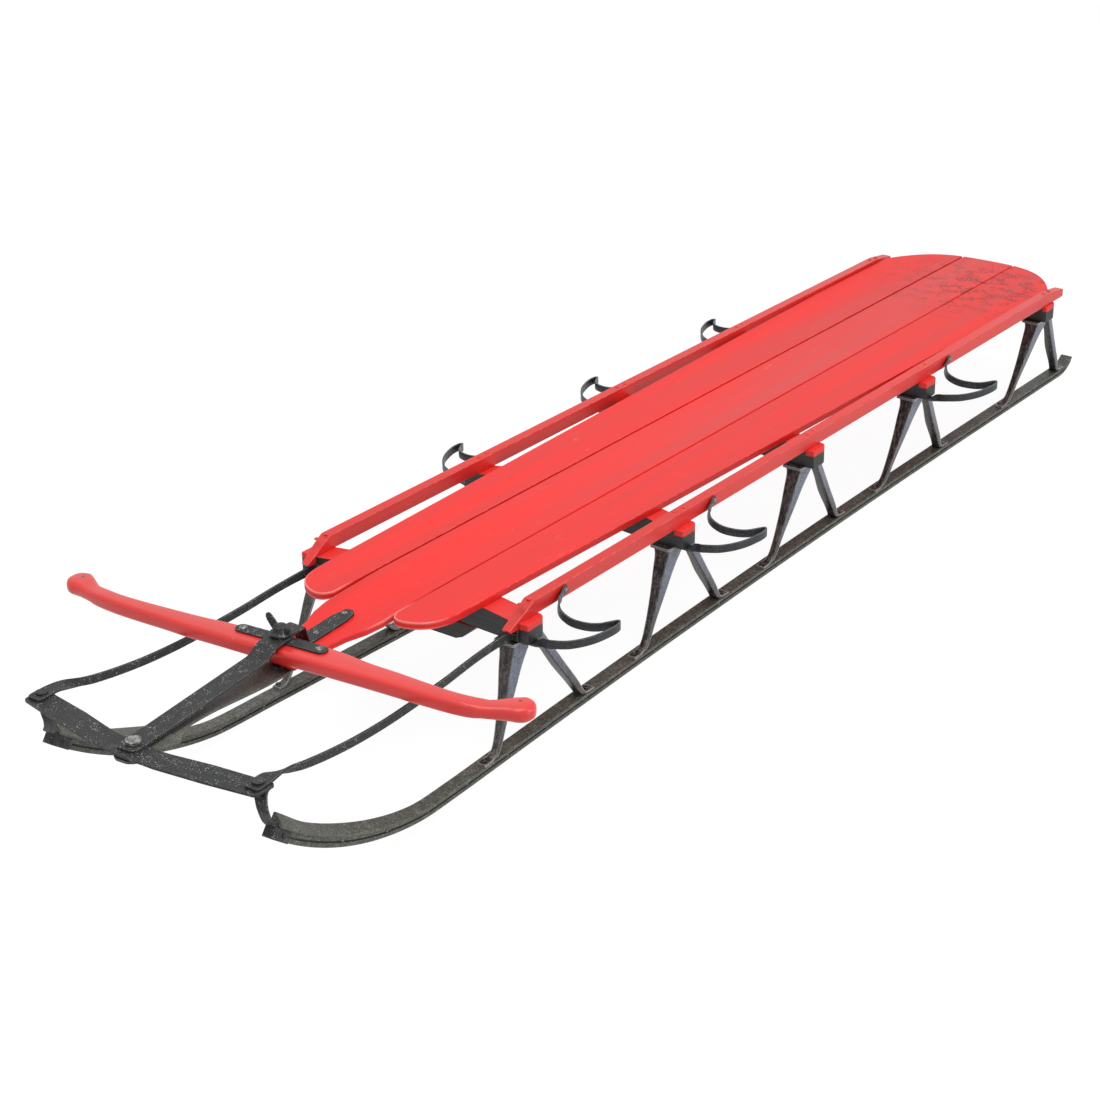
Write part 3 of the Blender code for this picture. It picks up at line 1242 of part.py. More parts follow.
def make_strut(side_name, side, root, hinge, iron):
    """A flat bar on edge from the first bench to the bumper's end, where it twists to lie flat.

    The table gives shares of the strut's length and of its rise, how far its width has turned
    from upright to level, and the share of the tab's extra width.
    """
    tab_z = BUMPER_TOP + GAP + STRUT_THICKNESS / 2
    rivet_x = side * (RIVET_X - STRUT_X)
    shape = (
        (0.011, 0.000, 0.0, 1.0, 0.0),
        (0.090, -0.020, 0.0, 1.0, 0.0),
        (0.233, -0.043, 0.0, 1.0, 0.0),
        (0.359, -0.051, 0.0, 1.0, 0.0),
        (0.503, -0.025, 0.0, 1.0, 0.0),
        (0.628, 0.089, 0.0, 1.0, 0.0),
        (0.736, 0.280, 0.0, 1.0, 0.0),
        (0.826, 0.509, 0.15, 1.0, 0.0),
        (0.880, 0.712, 0.45, 0.9, 0.0),
        (0.919, 0.878, 0.85, 0.5, 0.125),
        (0.9515, 0.975, 1.0, 0.1, 0.5),
        (0.971, 1.000, 1.0, 0.0, 0.875),
        (1.0055, 1.000, 1.0, 0.0, 1.0),
        (1.027, 1.000, 1.0, 0.0, 0.625),
    )
    rows = []
    for along, up, level, upright, widening in shape:
        place = (rivet_x * min(along, 1.0), -STRUT_LENGTH * along, STRUT_Z + (tab_z - STRUT_Z) * up)
        width = STRUT_HEIGHT + STRUT_TAB_WIDENING * widening
        rows.append((*place, side * level, 0.0, upright, width, STRUT_THICKNESS))
    rows = smooth_rows(rows, 2)
    name = f"strut_{side_name}"
    round_end = []
    for degrees in (20.0, 50.0, 90.0):
        angle = math.radians(degrees)
        y = STRUT_THICKNESS / 2 * math.cos(angle)
        round_end.append((0.0, y, STRUT_Z, 0.0, 0.0, 1.0, STRUT_HEIGHT, STRUT_THICKNESS * math.sin(angle)))
    strut = make_object(name, strap(name, round_end + rows), iron, hinge)
    cut_slot(strut, side_name + " strut", hinge, rivet_x, -STRUT_LENGTH, BUMPER_TOP, STRUT_TURN)

    half = STRUT_THICKNESS / 2
    clear = half + GAP
    name = f"strut_root_{side_name}"
    plate_back = BENCH_FRONT_Y - GAP
    plate_front = plate_back - STRUT_THICKNESS
    x = side * STRUT_X
    outline = [
        (x - half, STRUT_REAR_Y + clear),
        (x + half, STRUT_REAR_Y + clear),
        (x + half, plate_front),
        (x + STRUT_ROOT_HALF_WIDTH, plate_front),
        (x + STRUT_ROOT_HALF_WIDTH, plate_back),
        (x - STRUT_ROOT_HALF_WIDTH, plate_back),
        (x - STRUT_ROOT_HALF_WIDTH, plate_front),
        (x - half, plate_front),
    ]
    make_object(name, lift(outline_mesh(name, outline, STRUT_HEIGHT), STRUT_Z), iron, root)


def build_sled():
    red_paint = make_material("red paint", (0.72, 0.035, 0.028), 0.42, 0.0)
    black_paint = make_material("black painted wood", (0.035, 0.033, 0.033), 0.55, 0.0)
    iron = make_material("black iron", (0.045, 0.046, 0.050), 0.45, 0.6)
    worn_iron = make_material("worn iron", (0.115, 0.110, 0.105), 0.50, 0.7)
    steel = make_material("runner steel", (0.075, 0.075, 0.065), 0.45, 0.8)

    root = make_empty("sled", None, (0.0, -MIDDLE_Y, 0.0))
    steering = make_empty("steering axis", root, turn=TURN)
    bumper = make_empty("bumper axis", steering, (0.0, -LEVER_LENGTH, 0.0), -TURN)

    make_deck(root, red_paint)
    make_rails(root, red_paint)
    make_benches(root, black_paint)
    lever_z, lower_z = make_steering(steering, red_paint, iron, worn_iron)
    make_pivot(root, lever_z, lower_z, iron)
    make_bumper(bumper, iron)
    for side_name, side in SIDES:
        for number in range(1, STATION_COUNT + 1):
            make_knee(f"knee_{side_name}_{number}", station_y(number), side, root, iron)
        split = (side * runner_x(RUNNER_SPLIT_Y), RUNNER_SPLIT_Y, 0.0)
        runner_hinge = make_empty(f"runner {side_name} axis", root, split, RUNNER_TURN)
        make_runner(side_name, side, root, runner_hinge, iron, steel)
        strut_place = (side * STRUT_X, STRUT_REAR_Y, 0.0)
        strut_hinge = make_empty(f"strut {side_name} axis", root, strut_place, STRUT_TURN)
        make_strut(side_name, side, root, strut_hinge, iron)
    for number in LEFT_REST_STATIONS:
        make_foot_rest(f"foot_rest_left_{number}", station_y(number), 1.0, root, iron)
    for number in RIGHT_REST_STATIONS:
        make_foot_rest(f"foot_rest_right_{number}", station_y(number), -1.0, root, iron)


clear_scene()
parts = make_collection("Sled")
cutters = make_collection("Cutters")
build_sled()
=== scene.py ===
"""Dresses a long steerable snow sled: red painted boards on black iron knees and grey steel runners.

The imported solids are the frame. The middle board, the benches, the bumper, the bolts and a few irons
keep the frame's shape and get rounded edges. The outer boards, the rails, the steering bar and the
bent and pressed irons are built again here, with smooth curves and with outlines measured more
closely than the solids'. Places are in metres. Most lengthwise places are counted from the steering
pivot, because the sled was measured from there.
"""

import json
import math

import bmesh
import bpy
from bpy.props import FloatProperty, FloatVectorProperty, PointerProperty
from mathutils import Matrix, Vector


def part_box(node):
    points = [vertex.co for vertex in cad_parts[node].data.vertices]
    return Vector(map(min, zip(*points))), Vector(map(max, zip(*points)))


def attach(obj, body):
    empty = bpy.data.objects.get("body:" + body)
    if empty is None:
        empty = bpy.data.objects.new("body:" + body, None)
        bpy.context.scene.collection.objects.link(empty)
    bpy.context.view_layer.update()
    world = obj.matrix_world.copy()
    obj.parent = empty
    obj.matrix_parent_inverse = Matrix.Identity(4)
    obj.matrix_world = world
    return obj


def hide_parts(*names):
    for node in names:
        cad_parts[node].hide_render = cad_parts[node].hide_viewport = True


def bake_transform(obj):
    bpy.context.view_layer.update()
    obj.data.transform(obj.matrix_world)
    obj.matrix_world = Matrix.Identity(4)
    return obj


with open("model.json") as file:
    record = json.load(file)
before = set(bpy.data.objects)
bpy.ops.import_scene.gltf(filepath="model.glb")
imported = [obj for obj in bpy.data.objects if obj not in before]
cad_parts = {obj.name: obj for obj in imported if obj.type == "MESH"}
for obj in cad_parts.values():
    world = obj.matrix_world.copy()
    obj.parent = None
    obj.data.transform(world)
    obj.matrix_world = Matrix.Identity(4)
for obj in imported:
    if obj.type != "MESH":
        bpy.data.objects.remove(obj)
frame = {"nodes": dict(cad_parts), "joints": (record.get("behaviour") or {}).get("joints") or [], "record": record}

bl_info = {
    "name": "Steerable snow sled",
    "version": (1, 0, 0),
    "blender": (4, 5, 0),
    "location": "View3D > Sidebar > Sled",
    "description": "Dresses the sled's frame with painted wood, chipped iron and worn steel",
    "category": "Object",
}

SIDES = (("left", 1.0), ("right", -1.0))
JOINTS = {joint["name"]: joint for joint in frame["joints"]}
PIVOT_Y = JOINTS["steering_pivot"]["pos_m"][1]
TURN = math.radians(JOINTS["steering_pivot"]["range_deg"][1])
RATIOS = {row["joint"]: row["ratio"] for row in frame["record"]["behaviour"]["couplings"]}

# Heights that the solids share
DECK_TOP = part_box("deck_board_left")[1].z
RAIL_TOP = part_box("rail_left")[1].z
RAIL_OUTER_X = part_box("rail_left")[1].x
BENCH_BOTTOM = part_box("bench_1")[0].z
BENCH_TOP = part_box("rail_left")[0].z - 0.0003
STRIP_THICK = 0.004
STRIP_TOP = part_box("runner_left_strip")[0].z + STRIP_THICK
BUMPER_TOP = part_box("bumper")[1].z
BAR_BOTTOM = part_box("steering_bar")[0].z
BAR_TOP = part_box("steering_bar")[1].z

# Sizes that several pieces share
GAP = 0.0003
IRON_THICK = 0.004
KNEE_THICK = 0.0032
REST_THICK = 0.003
STRIP_HALF = 0.0125
SHOE_HEIGHT = 0.0157
TONGUE_FRONT = 0.012

# The stations' places, counted from the pivot
STATIONS = [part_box(f"bench_{number}")[0].y + 0.0325 - PIVOT_Y for number in range(1, 6)]
SPLIT_Y = JOINTS["left_runner_flex"]["pos_m"][1] - PIVOT_Y
SPLIT_X = JOINTS["left_runner_flex"]["pos_m"][0]
STRUT_X = JOINTS["left_strut_flex"]["pos_m"][0]

# The runners' bends and ends, counted from the pivot. The steering pulls the two tips apart.
NOSE_BEND_Y = 0.1445
NOSE_RADIUS = 0.69
TAIL_BEND_Y = 2.2045
TAIL_RADIUS = 0.085
TAIL_END_Y = 2.2578
TIPS = {"left": -0.2950, "right": -0.2850}

# Where the bending of the long pieces starts and ends
STRUT_ROOT_Y = 0.262
RUNNER_BLEND = (PIVOT_Y + SPLIT_Y + 0.02, PIVOT_Y + SPLIT_Y - 0.13)
STRUT_BLEND = (PIVOT_Y + STRUT_ROOT_Y, PIVOT_Y + STRUT_ROOT_Y - 0.16)

# The camera's place and directions, fitted to the photograph
CAMERA_PLACE = (1.98717, -2.935728, 1.66556)
CAMERA_RIGHT = Vector((0.79931, 0.60073, -0.01507))
CAMERA_UP = Vector((-0.24193, 0.34466, 0.90702))


def shade(red, green, blue):
    """A colour read off a picture, 0 to 255, as the light it stands for."""
    result = []
    for value in (red, green, blue):
        share = value / 255
        result.append(share / 12.92 if share <= 0.04045 else ((share + 0.055) / 1.055) ** 2.4)
    return tuple(result)


class SledPaint(bpy.types.PropertyGroup):
    """Colours of the paint and of the bare metal."""

    deck_red: FloatVectorProperty(
        name="Deck red", description="Paint on the boards", subtype="COLOR", size=3, min=0, max=1,
        default=shade(238, 40, 36),
    )
    rail_red: FloatVectorProperty(
        name="Rail red", description="Paint on the side rails", subtype="COLOR", size=3, min=0, max=1,
        default=shade(222, 42, 36),
    )
    bar_red: FloatVectorProperty(
        name="Bar red", description="Glossy paint on the steering bar", subtype="COLOR", size=3, min=0, max=1,
        default=shade(226, 46, 40),
    )
    worn_red: FloatVectorProperty(
        name="Worn red", description="Rubbed paint on edges and scratches", subtype="COLOR", size=3, min=0, max=1,
        default=shade(246, 150, 142),
    )
    iron_black: FloatVectorProperty(
        name="Iron black", description="Paint on the straps and the bumper", subtype="COLOR", size=3, min=0, max=1,
        default=shade(18, 19, 20),
    )
    knee_black: FloatVectorProperty(
        name="Knee black", description="Paint on the pressed knees", subtype="COLOR", size=3, min=0, max=1,
        default=shade(30, 31, 33),
    )
    # The chip grey also colours the irons' bright edges, which are partly a painted highlight.
    chip_grey: FloatVectorProperty(
        name="Chip grey", description="Metal where the black has chipped", subtype="COLOR", size=3, min=0, max=1,
        default=shade(196, 198, 192),
    )
    runner_grey: FloatVectorProperty(
        name="Runner grey", description="Weathered steel of the runners", subtype="COLOR", size=3, min=0, max=1,
        default=shade(68, 70, 63),
    )


class SledSizes(bpy.types.PropertyGroup):
    """Small sizes that the frame leaves open."""

    board_round: FloatProperty(
        name="Board edge", description="Rounding of the boards' edges", default=0.0008, min=0.0001, max=0.003,
        unit="LENGTH",
    )
    iron_round: FloatProperty(
        name="Iron edge", description="Rounding of the flat irons' edges", default=0.0006, min=0.0001, max=0.002,
        unit="LENGTH",
    )
    screw_radius: FloatProperty(
        name="Screw head", description="Radius of the wood screws' heads", default=0.0042, min=0.002, max=0.01,
        unit="LENGTH",
    )
    rivet_radius: FloatProperty(
        name="Rivet head", description="Radius of the rivets' heads", default=0.0046, min=0.002, max=0.01,
        unit="LENGTH",
    )


class SledStage(bpy.types.PropertyGroup):
    """Camera, lamps and floor."""

    lens: FloatProperty(
        name="Lens", description="Focal length of the camera", default=72.39, min=10, max=300, unit="CAMERA"
    )
    top_power: FloatProperty(
        name="Top lamp", description="Power of the large lamp overhead", default=120.0, min=0, max=2000,
        unit="POWER",
    )
    side_power: FloatProperty(
        name="Side lamp", description="Power of the lamp beside the sled", default=60.0, min=0, max=2000,
        unit="POWER",
    )
    fill: FloatProperty(
        name="Fill", description="Strength of the light from all round", default=0.55, min=0, max=3
    )


def paint():
    """The colours that the panel shows."""
    return bpy.context.scene.sled_paint


def sizes():
    """The small sizes that the panel shows."""
    return bpy.context.scene.sled_sizes


# Shader nodes


def shader_node(tree, kind, inputs=None, **settings):
    """Add a shader node. Its inputs are given as plain values or as sockets to link."""
    node = tree.nodes.new(kind)
    for setting, value in settings.items():
        setattr(node, setting, value)
    for name, value in (inputs or {}).items():
        if isinstance(value, bpy.types.NodeSocket):
            tree.links.new(value, node.inputs[name])
        else:
            node.inputs[name].default_value = value
    return node


def arithmetic(tree, operation, first, second):
    inputs = {0: first, 1: second}
    return shader_node(tree, "ShaderNodeMath", inputs, operation=operation, use_clamp=True).outputs[0]


def spread(tree, value, low, high, out_low=0.0, out_high=1.0):
    """A value stretched from one range to another and held inside it."""
    inputs = {"Value": value, "From Min": low, "From Max": high, "To Min": out_low, "To Max": out_high}
    return shader_node(tree, "ShaderNodeMapRange", inputs).outputs["Result"]


def stretched(tree, coordinates, stretch):
    inputs = {0: coordinates, 1: stretch}
    return shader_node(tree, "ShaderNodeVectorMath", inputs, operation="MULTIPLY").outputs["Vector"]


def noise(tree, coordinates, scale, detail=4.0, roughness=0.55):
    inputs = {"Vector": coordinates, "Scale": scale, "Detail": detail, "Roughness": roughness}
    return shader_node(tree, "ShaderNodeTexNoise", inputs).outputs["Fac"]


def painted_over(tree, share, under, over):
    """One colour laid over another where the mask is bright."""
    node = shader_node(tree, "ShaderNodeMix", {0: share}, data_type="RGBA")
    for index, colour in ((6, under), (7, over)):
        if isinstance(colour, bpy.types.NodeSocket):
            tree.links.new(colour, node.inputs[index])
        else:
            node.inputs[index].default_value = (*colour[:3], 1.0)
    return node.outputs[2]


def effect_group(name, inputs, outputs):
    """Start a node group with named sockets."""
    tree = bpy.data.node_groups.new(name, "ShaderNodeTree")
    for socket_name, kind, value in inputs:
        socket = tree.interface.new_socket(name=socket_name, in_out="INPUT", socket_type=kind)
        if value is not None:
            socket.default_value = value
    for socket_name in outputs:
        tree.interface.new_socket(name=socket_name, in_out="OUTPUT", socket_type="NodeSocketFloat")
    return tree, tree.nodes.new("NodeGroupInput").outputs, tree.nodes.new("NodeGroupOutput").inputs


def background_rays(tree):
    """One where a ray shows the background rather than lights the sled."""
    rays = tree.nodes.new("ShaderNodeLightPath").outputs
    seen = arithmetic(tree, "ADD", rays["Is Camera Ray"], rays["Is Glossy Ray"])
    return arithmetic(tree, "ADD", seen, rays["Is Transmission Ray"])


def make_worn_and_highlit_edges():
    """Edges made bright where the surface turns sharply, broken up by noise: rubbed wear, and on the knees and
    straps also a painted highlight.
    """
    tree, given, result = effect_group(
        "Worn edges",
        [
            ("Coordinates", "NodeSocketVector", None),
            ("Radius", "NodeSocketFloat", 0.002),
            ("Amount", "NodeSocketFloat", 0.5),
            ("Scale", "NodeSocketFloat", 90.0),
        ],
        ["Mask"],
    )
    softened = shader_node(tree, "ShaderNodeBevel", {"Radius": given["Radius"]}, samples=4).outputs[0]
    plain = tree.nodes.new("ShaderNodeNewGeometry").outputs["Normal"]
    both = {0: softened, 1: plain}
    agree = shader_node(tree, "ShaderNodeVectorMath", both, operation="DOT_PRODUCT").outputs["Value"]
    edge = spread(tree, agree, 0.99, 0.80)
    broken = noise(tree, given["Coordinates"], given["Scale"], 5.0, 0.65)
    threshold = arithmetic(tree, "SUBTRACT", 0.85, given["Amount"])
    over = arithmetic(tree, "SUBTRACT", broken, threshold)
    mask = arithmetic(tree, "MULTIPLY", edge, spread(tree, over, 0.0, 0.12))
    tree.links.new(mask, result["Mask"])
    return tree


def make_chipped_specks():
    """Small ragged specks that gather in patches."""
    tree, given, result = effect_group(
        "Chipped specks",
        [
            ("Coordinates", "NodeSocketVector", None),
            ("Scale", "NodeSocketFloat", 600.0),
            ("Amount", "NodeSocketFloat", 0.3),
        ],
        ["Mask"],
    )
    fine = noise(tree, given["Coordinates"], given["Scale"], 3.0, 0.6)
    patch_scale = shader_node(tree, "ShaderNodeMath", {0: given["Scale"], 1: 0.13}, operation="MULTIPLY").outputs[0]
    patches = noise(tree, given["Coordinates"], patch_scale, 2.0, 0.5)
    crowd = arithmetic(tree, "MULTIPLY", spread(tree, patches, 0.32, 0.58), given["Amount"])
    threshold = arithmetic(tree, "SUBTRACT", 0.76, crowd)
    over = arithmetic(tree, "SUBTRACT", fine, threshold)
    tree.links.new(spread(tree, over, 0.0, 0.03), result["Mask"])
    return tree


def make_brushed_grain():
    """Fine streaks along a board, and slow blotches in the paint over it."""
    tree, given, result = effect_group(
        "Brushed grain",
        [
            ("Coordinates", "NodeSocketVector", None),
            ("Stretch", "NodeSocketVector", (1.0, 0.04, 1.0)),
            ("Scale", "NodeSocketFloat", 170.0),
        ],
        ["Streaks", "Blotches"],
    )
    along = stretched(tree, given["Coordinates"], given["Stretch"])
    tree.links.new(noise(tree, along, given["Scale"], 6.0, 0.62), result["Streaks"])
    slow_scale = shader_node(tree, "ShaderNodeMath", {0: given["Scale"], 1: 0.12}, operation="MULTIPLY").outputs[0]
    tree.links.new(noise(tree, along, slow_scale, 3.0, 0.55), result["Blotches"])
    return tree


def make_long_scratches():
    """Thin broken lines that run mostly one way."""
    tree, given, result = effect_group(
        "Long scratches",
        [
            ("Coordinates", "NodeSocketVector", None),
            ("Stretch", "NodeSocketVector", (1.0, 0.12, 1.0)),
            ("Scale", "NodeSocketFloat", 40.0),
            ("Amount", "NodeSocketFloat", 0.4),
        ],
        ["Mask"],
    )
    along = stretched(tree, given["Coordinates"], given["Stretch"])
    cells = shader_node(
        tree, "ShaderNodeTexVoronoi", {"Vector": along, "Scale": given["Scale"]}, feature="DISTANCE_TO_EDGE"
    ).outputs["Distance"]
    lines = spread(tree, cells, 0.012, 0.003)
    kept = noise(tree, given["Coordinates"], 38.0, 3.0, 0.6)
    threshold = arithmetic(tree, "SUBTRACT", 0.80, given["Amount"])
    over = arithmetic(tree, "SUBTRACT", kept, threshold)
    tree.links.new(arithmetic(tree, "MULTIPLY", lines, spread(tree, over, 0.0, 0.08)), result["Mask"])
    return tree


EFFECTS = {
    "Worn edges": make_worn_and_highlit_edges,
    "Chipped specks": make_chipped_specks,
    "Brushed grain": make_brushed_grain,
    "Long scratches": make_long_scratches,
}


def effect(tree, name, inputs):
    """Place a shared effect, which is built the first time it is asked for."""
    group = bpy.data.node_groups.get(name) or EFFECTS[name]()
    node = tree.nodes.new("ShaderNodeGroup")
    node.node_tree = group
    for socket_name, value in inputs.items():
        if isinstance(value, bpy.types.NodeSocket):
            tree.links.new(value, node.inputs[socket_name])
        else:
            node.inputs[socket_name].default_value = value
    return node.outputs


def start_finish(name):
    """A new material, its tree, its shader and the sled's own coordinates."""
    material = bpy.data.materials.new(name)
    material.use_nodes = True
    tree = material.node_tree
    coordinates = tree.nodes.new("ShaderNodeTexCoord").outputs["Object"]
    return material, tree, tree.nodes["Principled BSDF"], coordinates


def bump(tree, shader, height, strength, distance):
    inputs = {"Height": height, "Strength": strength, "Distance": distance}
    tree.links.new(shader_node(tree, "ShaderNodeBump", inputs).outputs["Normal"], shader.inputs["Normal"])


def facing(tree, axis):
    """How far the surface faces along an axis."""
    normal = tree.nodes.new("ShaderNodeNewGeometry").outputs["Normal"]
    return shader_node(tree, "ShaderNodeSeparateXYZ", {0: normal}).outputs[axis]


def near(tree, coordinates, place, inner, outer):
    """A soft round patch about a place on the sled."""
    ends = {0: coordinates, 1: place}
    away = shader_node(tree, "ShaderNodeVectorMath", ends, operation="DISTANCE").outputs["Value"]
    return spread(tree, away, outer, inner)


def laid_on(tree, tone, name, inputs, share, colour):
    """A shared effect's colour laid over a tone, at some share of its strength."""
    mask = effect(tree, name, inputs)["Mask"]
    return painted_over(tree, arithmetic(tree, "MULTIPLY", mask, share), tone, colour)


def painted_wood(name, colour, stretch, roughness, coat, wear):
    """Red enamel brushed over wood: streaks under the paint, rubbed edges and pale scratches."""
    material, tree, shader, coordinates = start_finish(name)
    grain = effect(tree, "Brushed grain", {"Coordinates": coordinates, "Stretch": stretch})
    deep = tuple(value * 0.80 for value in colour)
    tone = painted_over(tree, spread(tree, grain["Blotches"], 0.35, 0.68), deep, colour)
    fine = spread(tree, grain["Streaks"], 0.60, 0.78, 0.0, 0.30)
    light = tuple(min(value * 1.12 + 0.03, 1.0) for value in colour)
    tone = painted_over(tree, fine, tone, light)
    worn = tuple(paint().worn_red)
    tone = laid_on(tree, tone, "Worn edges", {"Coordinates": coordinates, "Amount": wear}, 0.7, worn)
    scratches = {"Coordinates": coordinates, "Stretch": stretch, "Scale": 55.0, "Amount": 0.20}
    tone = laid_on(tree, tone, "Long scratches", scratches, 0.35, worn)
    tree.links.new(tone, shader.inputs["Base Color"])
    dullness = spread(tree, grain["Blotches"], 0.3, 0.75, roughness, roughness + 0.14)
    tree.links.new(dullness, shader.inputs["Roughness"])
    shader.inputs["Coat Weight"].default_value = coat
    shader.inputs["Coat Roughness"].default_value = 0.18
    bump(tree, shader, grain["Streaks"], 0.22, 0.0006)
    return material


def make_deck_paint():
    """The boards' paint, with worn front edges, scratches on the far lobe and dark spots toward the tail."""
    colour = tuple(paint().deck_red)
    material = painted_wood("deck_paint", colour, (1.0, 0.04, 1.0), 0.42, 0.0, 0.36)
    tree = material.node_tree
    shader = tree.nodes["Principled BSDF"]
    coordinates = next(node for node in tree.nodes if node.type == "TEX_COORD").outputs["Object"]
    tone = shader.inputs["Base Color"].links[0].from_socket
    lobe = near(tree, coordinates, (-0.105, PIVOT_Y + 0.205, DECK_TOP), 0.02, 0.080)
    scratches = effect(
        tree,
        "Long scratches",
        {"Coordinates": coordinates, "Stretch": (1.0, 0.25, 1.0), "Scale": 30.0, "Amount": 0.16},
    )["Mask"]
    marks = arithmetic(tree, "MULTIPLY", arithmetic(tree, "MULTIPLY", lobe, scratches), 0.75)
    tone = painted_over(tree, marks, tone, shade(244, 190, 180))
    rubbed = effect(
        tree, "Worn edges", {"Coordinates": coordinates, "Radius": 0.006, "Amount": 0.60, "Scale": 150.0}
    )["Mask"]
    for place in ((-0.09, PIVOT_Y + 0.165, DECK_TOP), (0.09, PIVOT_Y + 0.165, DECK_TOP)):
        tip = near(tree, coordinates, place, 0.035, 0.065)
        tone = painted_over(tree, arithmetic(tree, "MULTIPLY", tip, rubbed), tone, shade(246, 176, 166))
    tail = near(tree, coordinates, (0.07, PIVOT_Y + 2.02, DECK_TOP), 0.05, 0.24)
    specks = effect(tree, "Chipped specks", {"Coordinates": coordinates, "Scale": 230.0, "Amount": 0.30})["Mask"]
    tone = painted_over(tree, arithmetic(tree, "MULTIPLY", tail, specks), tone, shade(150, 24, 26))
    tree.links.new(tone, shader.inputs["Base Color"])
    shader.inputs["Specular IOR Level"].default_value = 0.32
    return material


def make_bench_paint():
    """Black paint on the benches, with the rails' red brushed over their tops and down their ends."""
    material, tree, shader, coordinates = start_finish("bench_paint")
    grain = effect(tree, "Brushed grain", {"Coordinates": coordinates, "Stretch": (0.05, 1.0, 1.0)})
    black = painted_over(tree, spread(tree, grain["Streaks"], 0.4, 0.75), shade(27, 27, 28), shade(50, 50, 50))
    place = shader_node(tree, "ShaderNodeSeparateXYZ", {0: coordinates}).outputs
    ragged = noise(tree, coordinates, 70.0, 3.0, 0.6)
    height = shader_node(
        tree, "ShaderNodeMath", {0: ragged, 1: 0.005, 2: place["Z"]}, operation="MULTIPLY_ADD"
    ).outputs[0]
    upper = spread(tree, height, BENCH_TOP - 0.0078, BENCH_TOP - 0.0068)
    aside = shader_node(tree, "ShaderNodeMath", {0: place["X"]}, operation="ABSOLUTE").outputs[0]
    outside = spread(tree, aside, RAIL_OUTER_X - 0.004, RAIL_OUTER_X - 0.002)
    painted_top = spread(tree, facing(tree, "Z"), 0.45, 0.65)
    painted_end = arithmetic(tree, "MULTIPLY", upper, outside)
    red = shader_node(tree, "ShaderNodeMath", {0: painted_top, 1: painted_end}, operation="MAXIMUM").outputs[0]
    tone = painted_over(tree, red, black, tuple(paint().rail_red))
    edge_settings = {"Coordinates": coordinates, "Amount": 0.34}
    tone = laid_on(tree, tone, "Worn edges", edge_settings, 0.35, shade(150, 146, 140))
    tree.links.new(tone, shader.inputs["Base Color"])
    tree.links.new(spread(tree, grain["Blotches"], 0.3, 0.7, 0.42, 0.62), shader.inputs["Roughness"])
    bump(tree, shader, grain["Streaks"], 0.25, 0.0006)
    return material


def chipped_iron(name, colour, chips, edge_amount, roughness, pits):
    """Black paint on rolled iron: dull patches, a rough grain, small pale chips, and edges both rubbed and painted
    as highlights.
    """
    material, tree, shader, coordinates = start_finish(name)
    dull = noise(tree, coordinates, 34.0, 4.0, 0.6)
    lighter = tuple(value * 1.9 + 0.006 for value in colour)
    tone = painted_over(tree, spread(tree, dull, 0.44, 0.70), colour, lighter)
    fine = noise(tree, coordinates, 640.0, 3.0, 0.75)
    pale = tuple(value * 2.6 + 0.045 for value in colour)
    tone = painted_over(tree, spread(tree, fine, 0.52, 0.64, 0.0, 0.9), tone, pale)
    pit = tuple(value * 0.25 for value in colour)
    tone = painted_over(tree, spread(tree, fine, 0.48, 0.38, 0.0, 0.8), tone, pit)
    chip_and_highlight_colour = tuple(paint().chip_grey)
    # Bright edges: partly rubbed bare metal, partly a painted highlight along the lit edges.
    edge_settings = {"Coordinates": coordinates, "Radius": 0.0012, "Amount": edge_amount}
    tone = laid_on(tree, tone, "Worn edges", edge_settings, 0.60, tuple(value * 0.75 for value in chip_and_highlight_colour))
    specks = effect(tree, "Chipped specks", {"Coordinates": coordinates, "Scale": 540.0, "Amount": chips})["Mask"]
    tone = painted_over(tree, arithmetic(tree, "MULTIPLY", specks, 0.9), tone, chip_and_highlight_colour)
    tree.links.new(tone, shader.inputs["Base Color"])
    shader.inputs["Specular IOR Level"].default_value = 0.35
    tree.links.new(spread(tree, dull, 0.35, 0.70, roughness, roughness + 0.16), shader.inputs["Roughness"])
    height = arithmetic(tree, "SUBTRACT", spread(tree, fine, 0.2, 0.8), arithmetic(tree, "MULTIPLY", specks, 0.35))
    bump(tree, shader, height, pits, 0.0008)
    return material


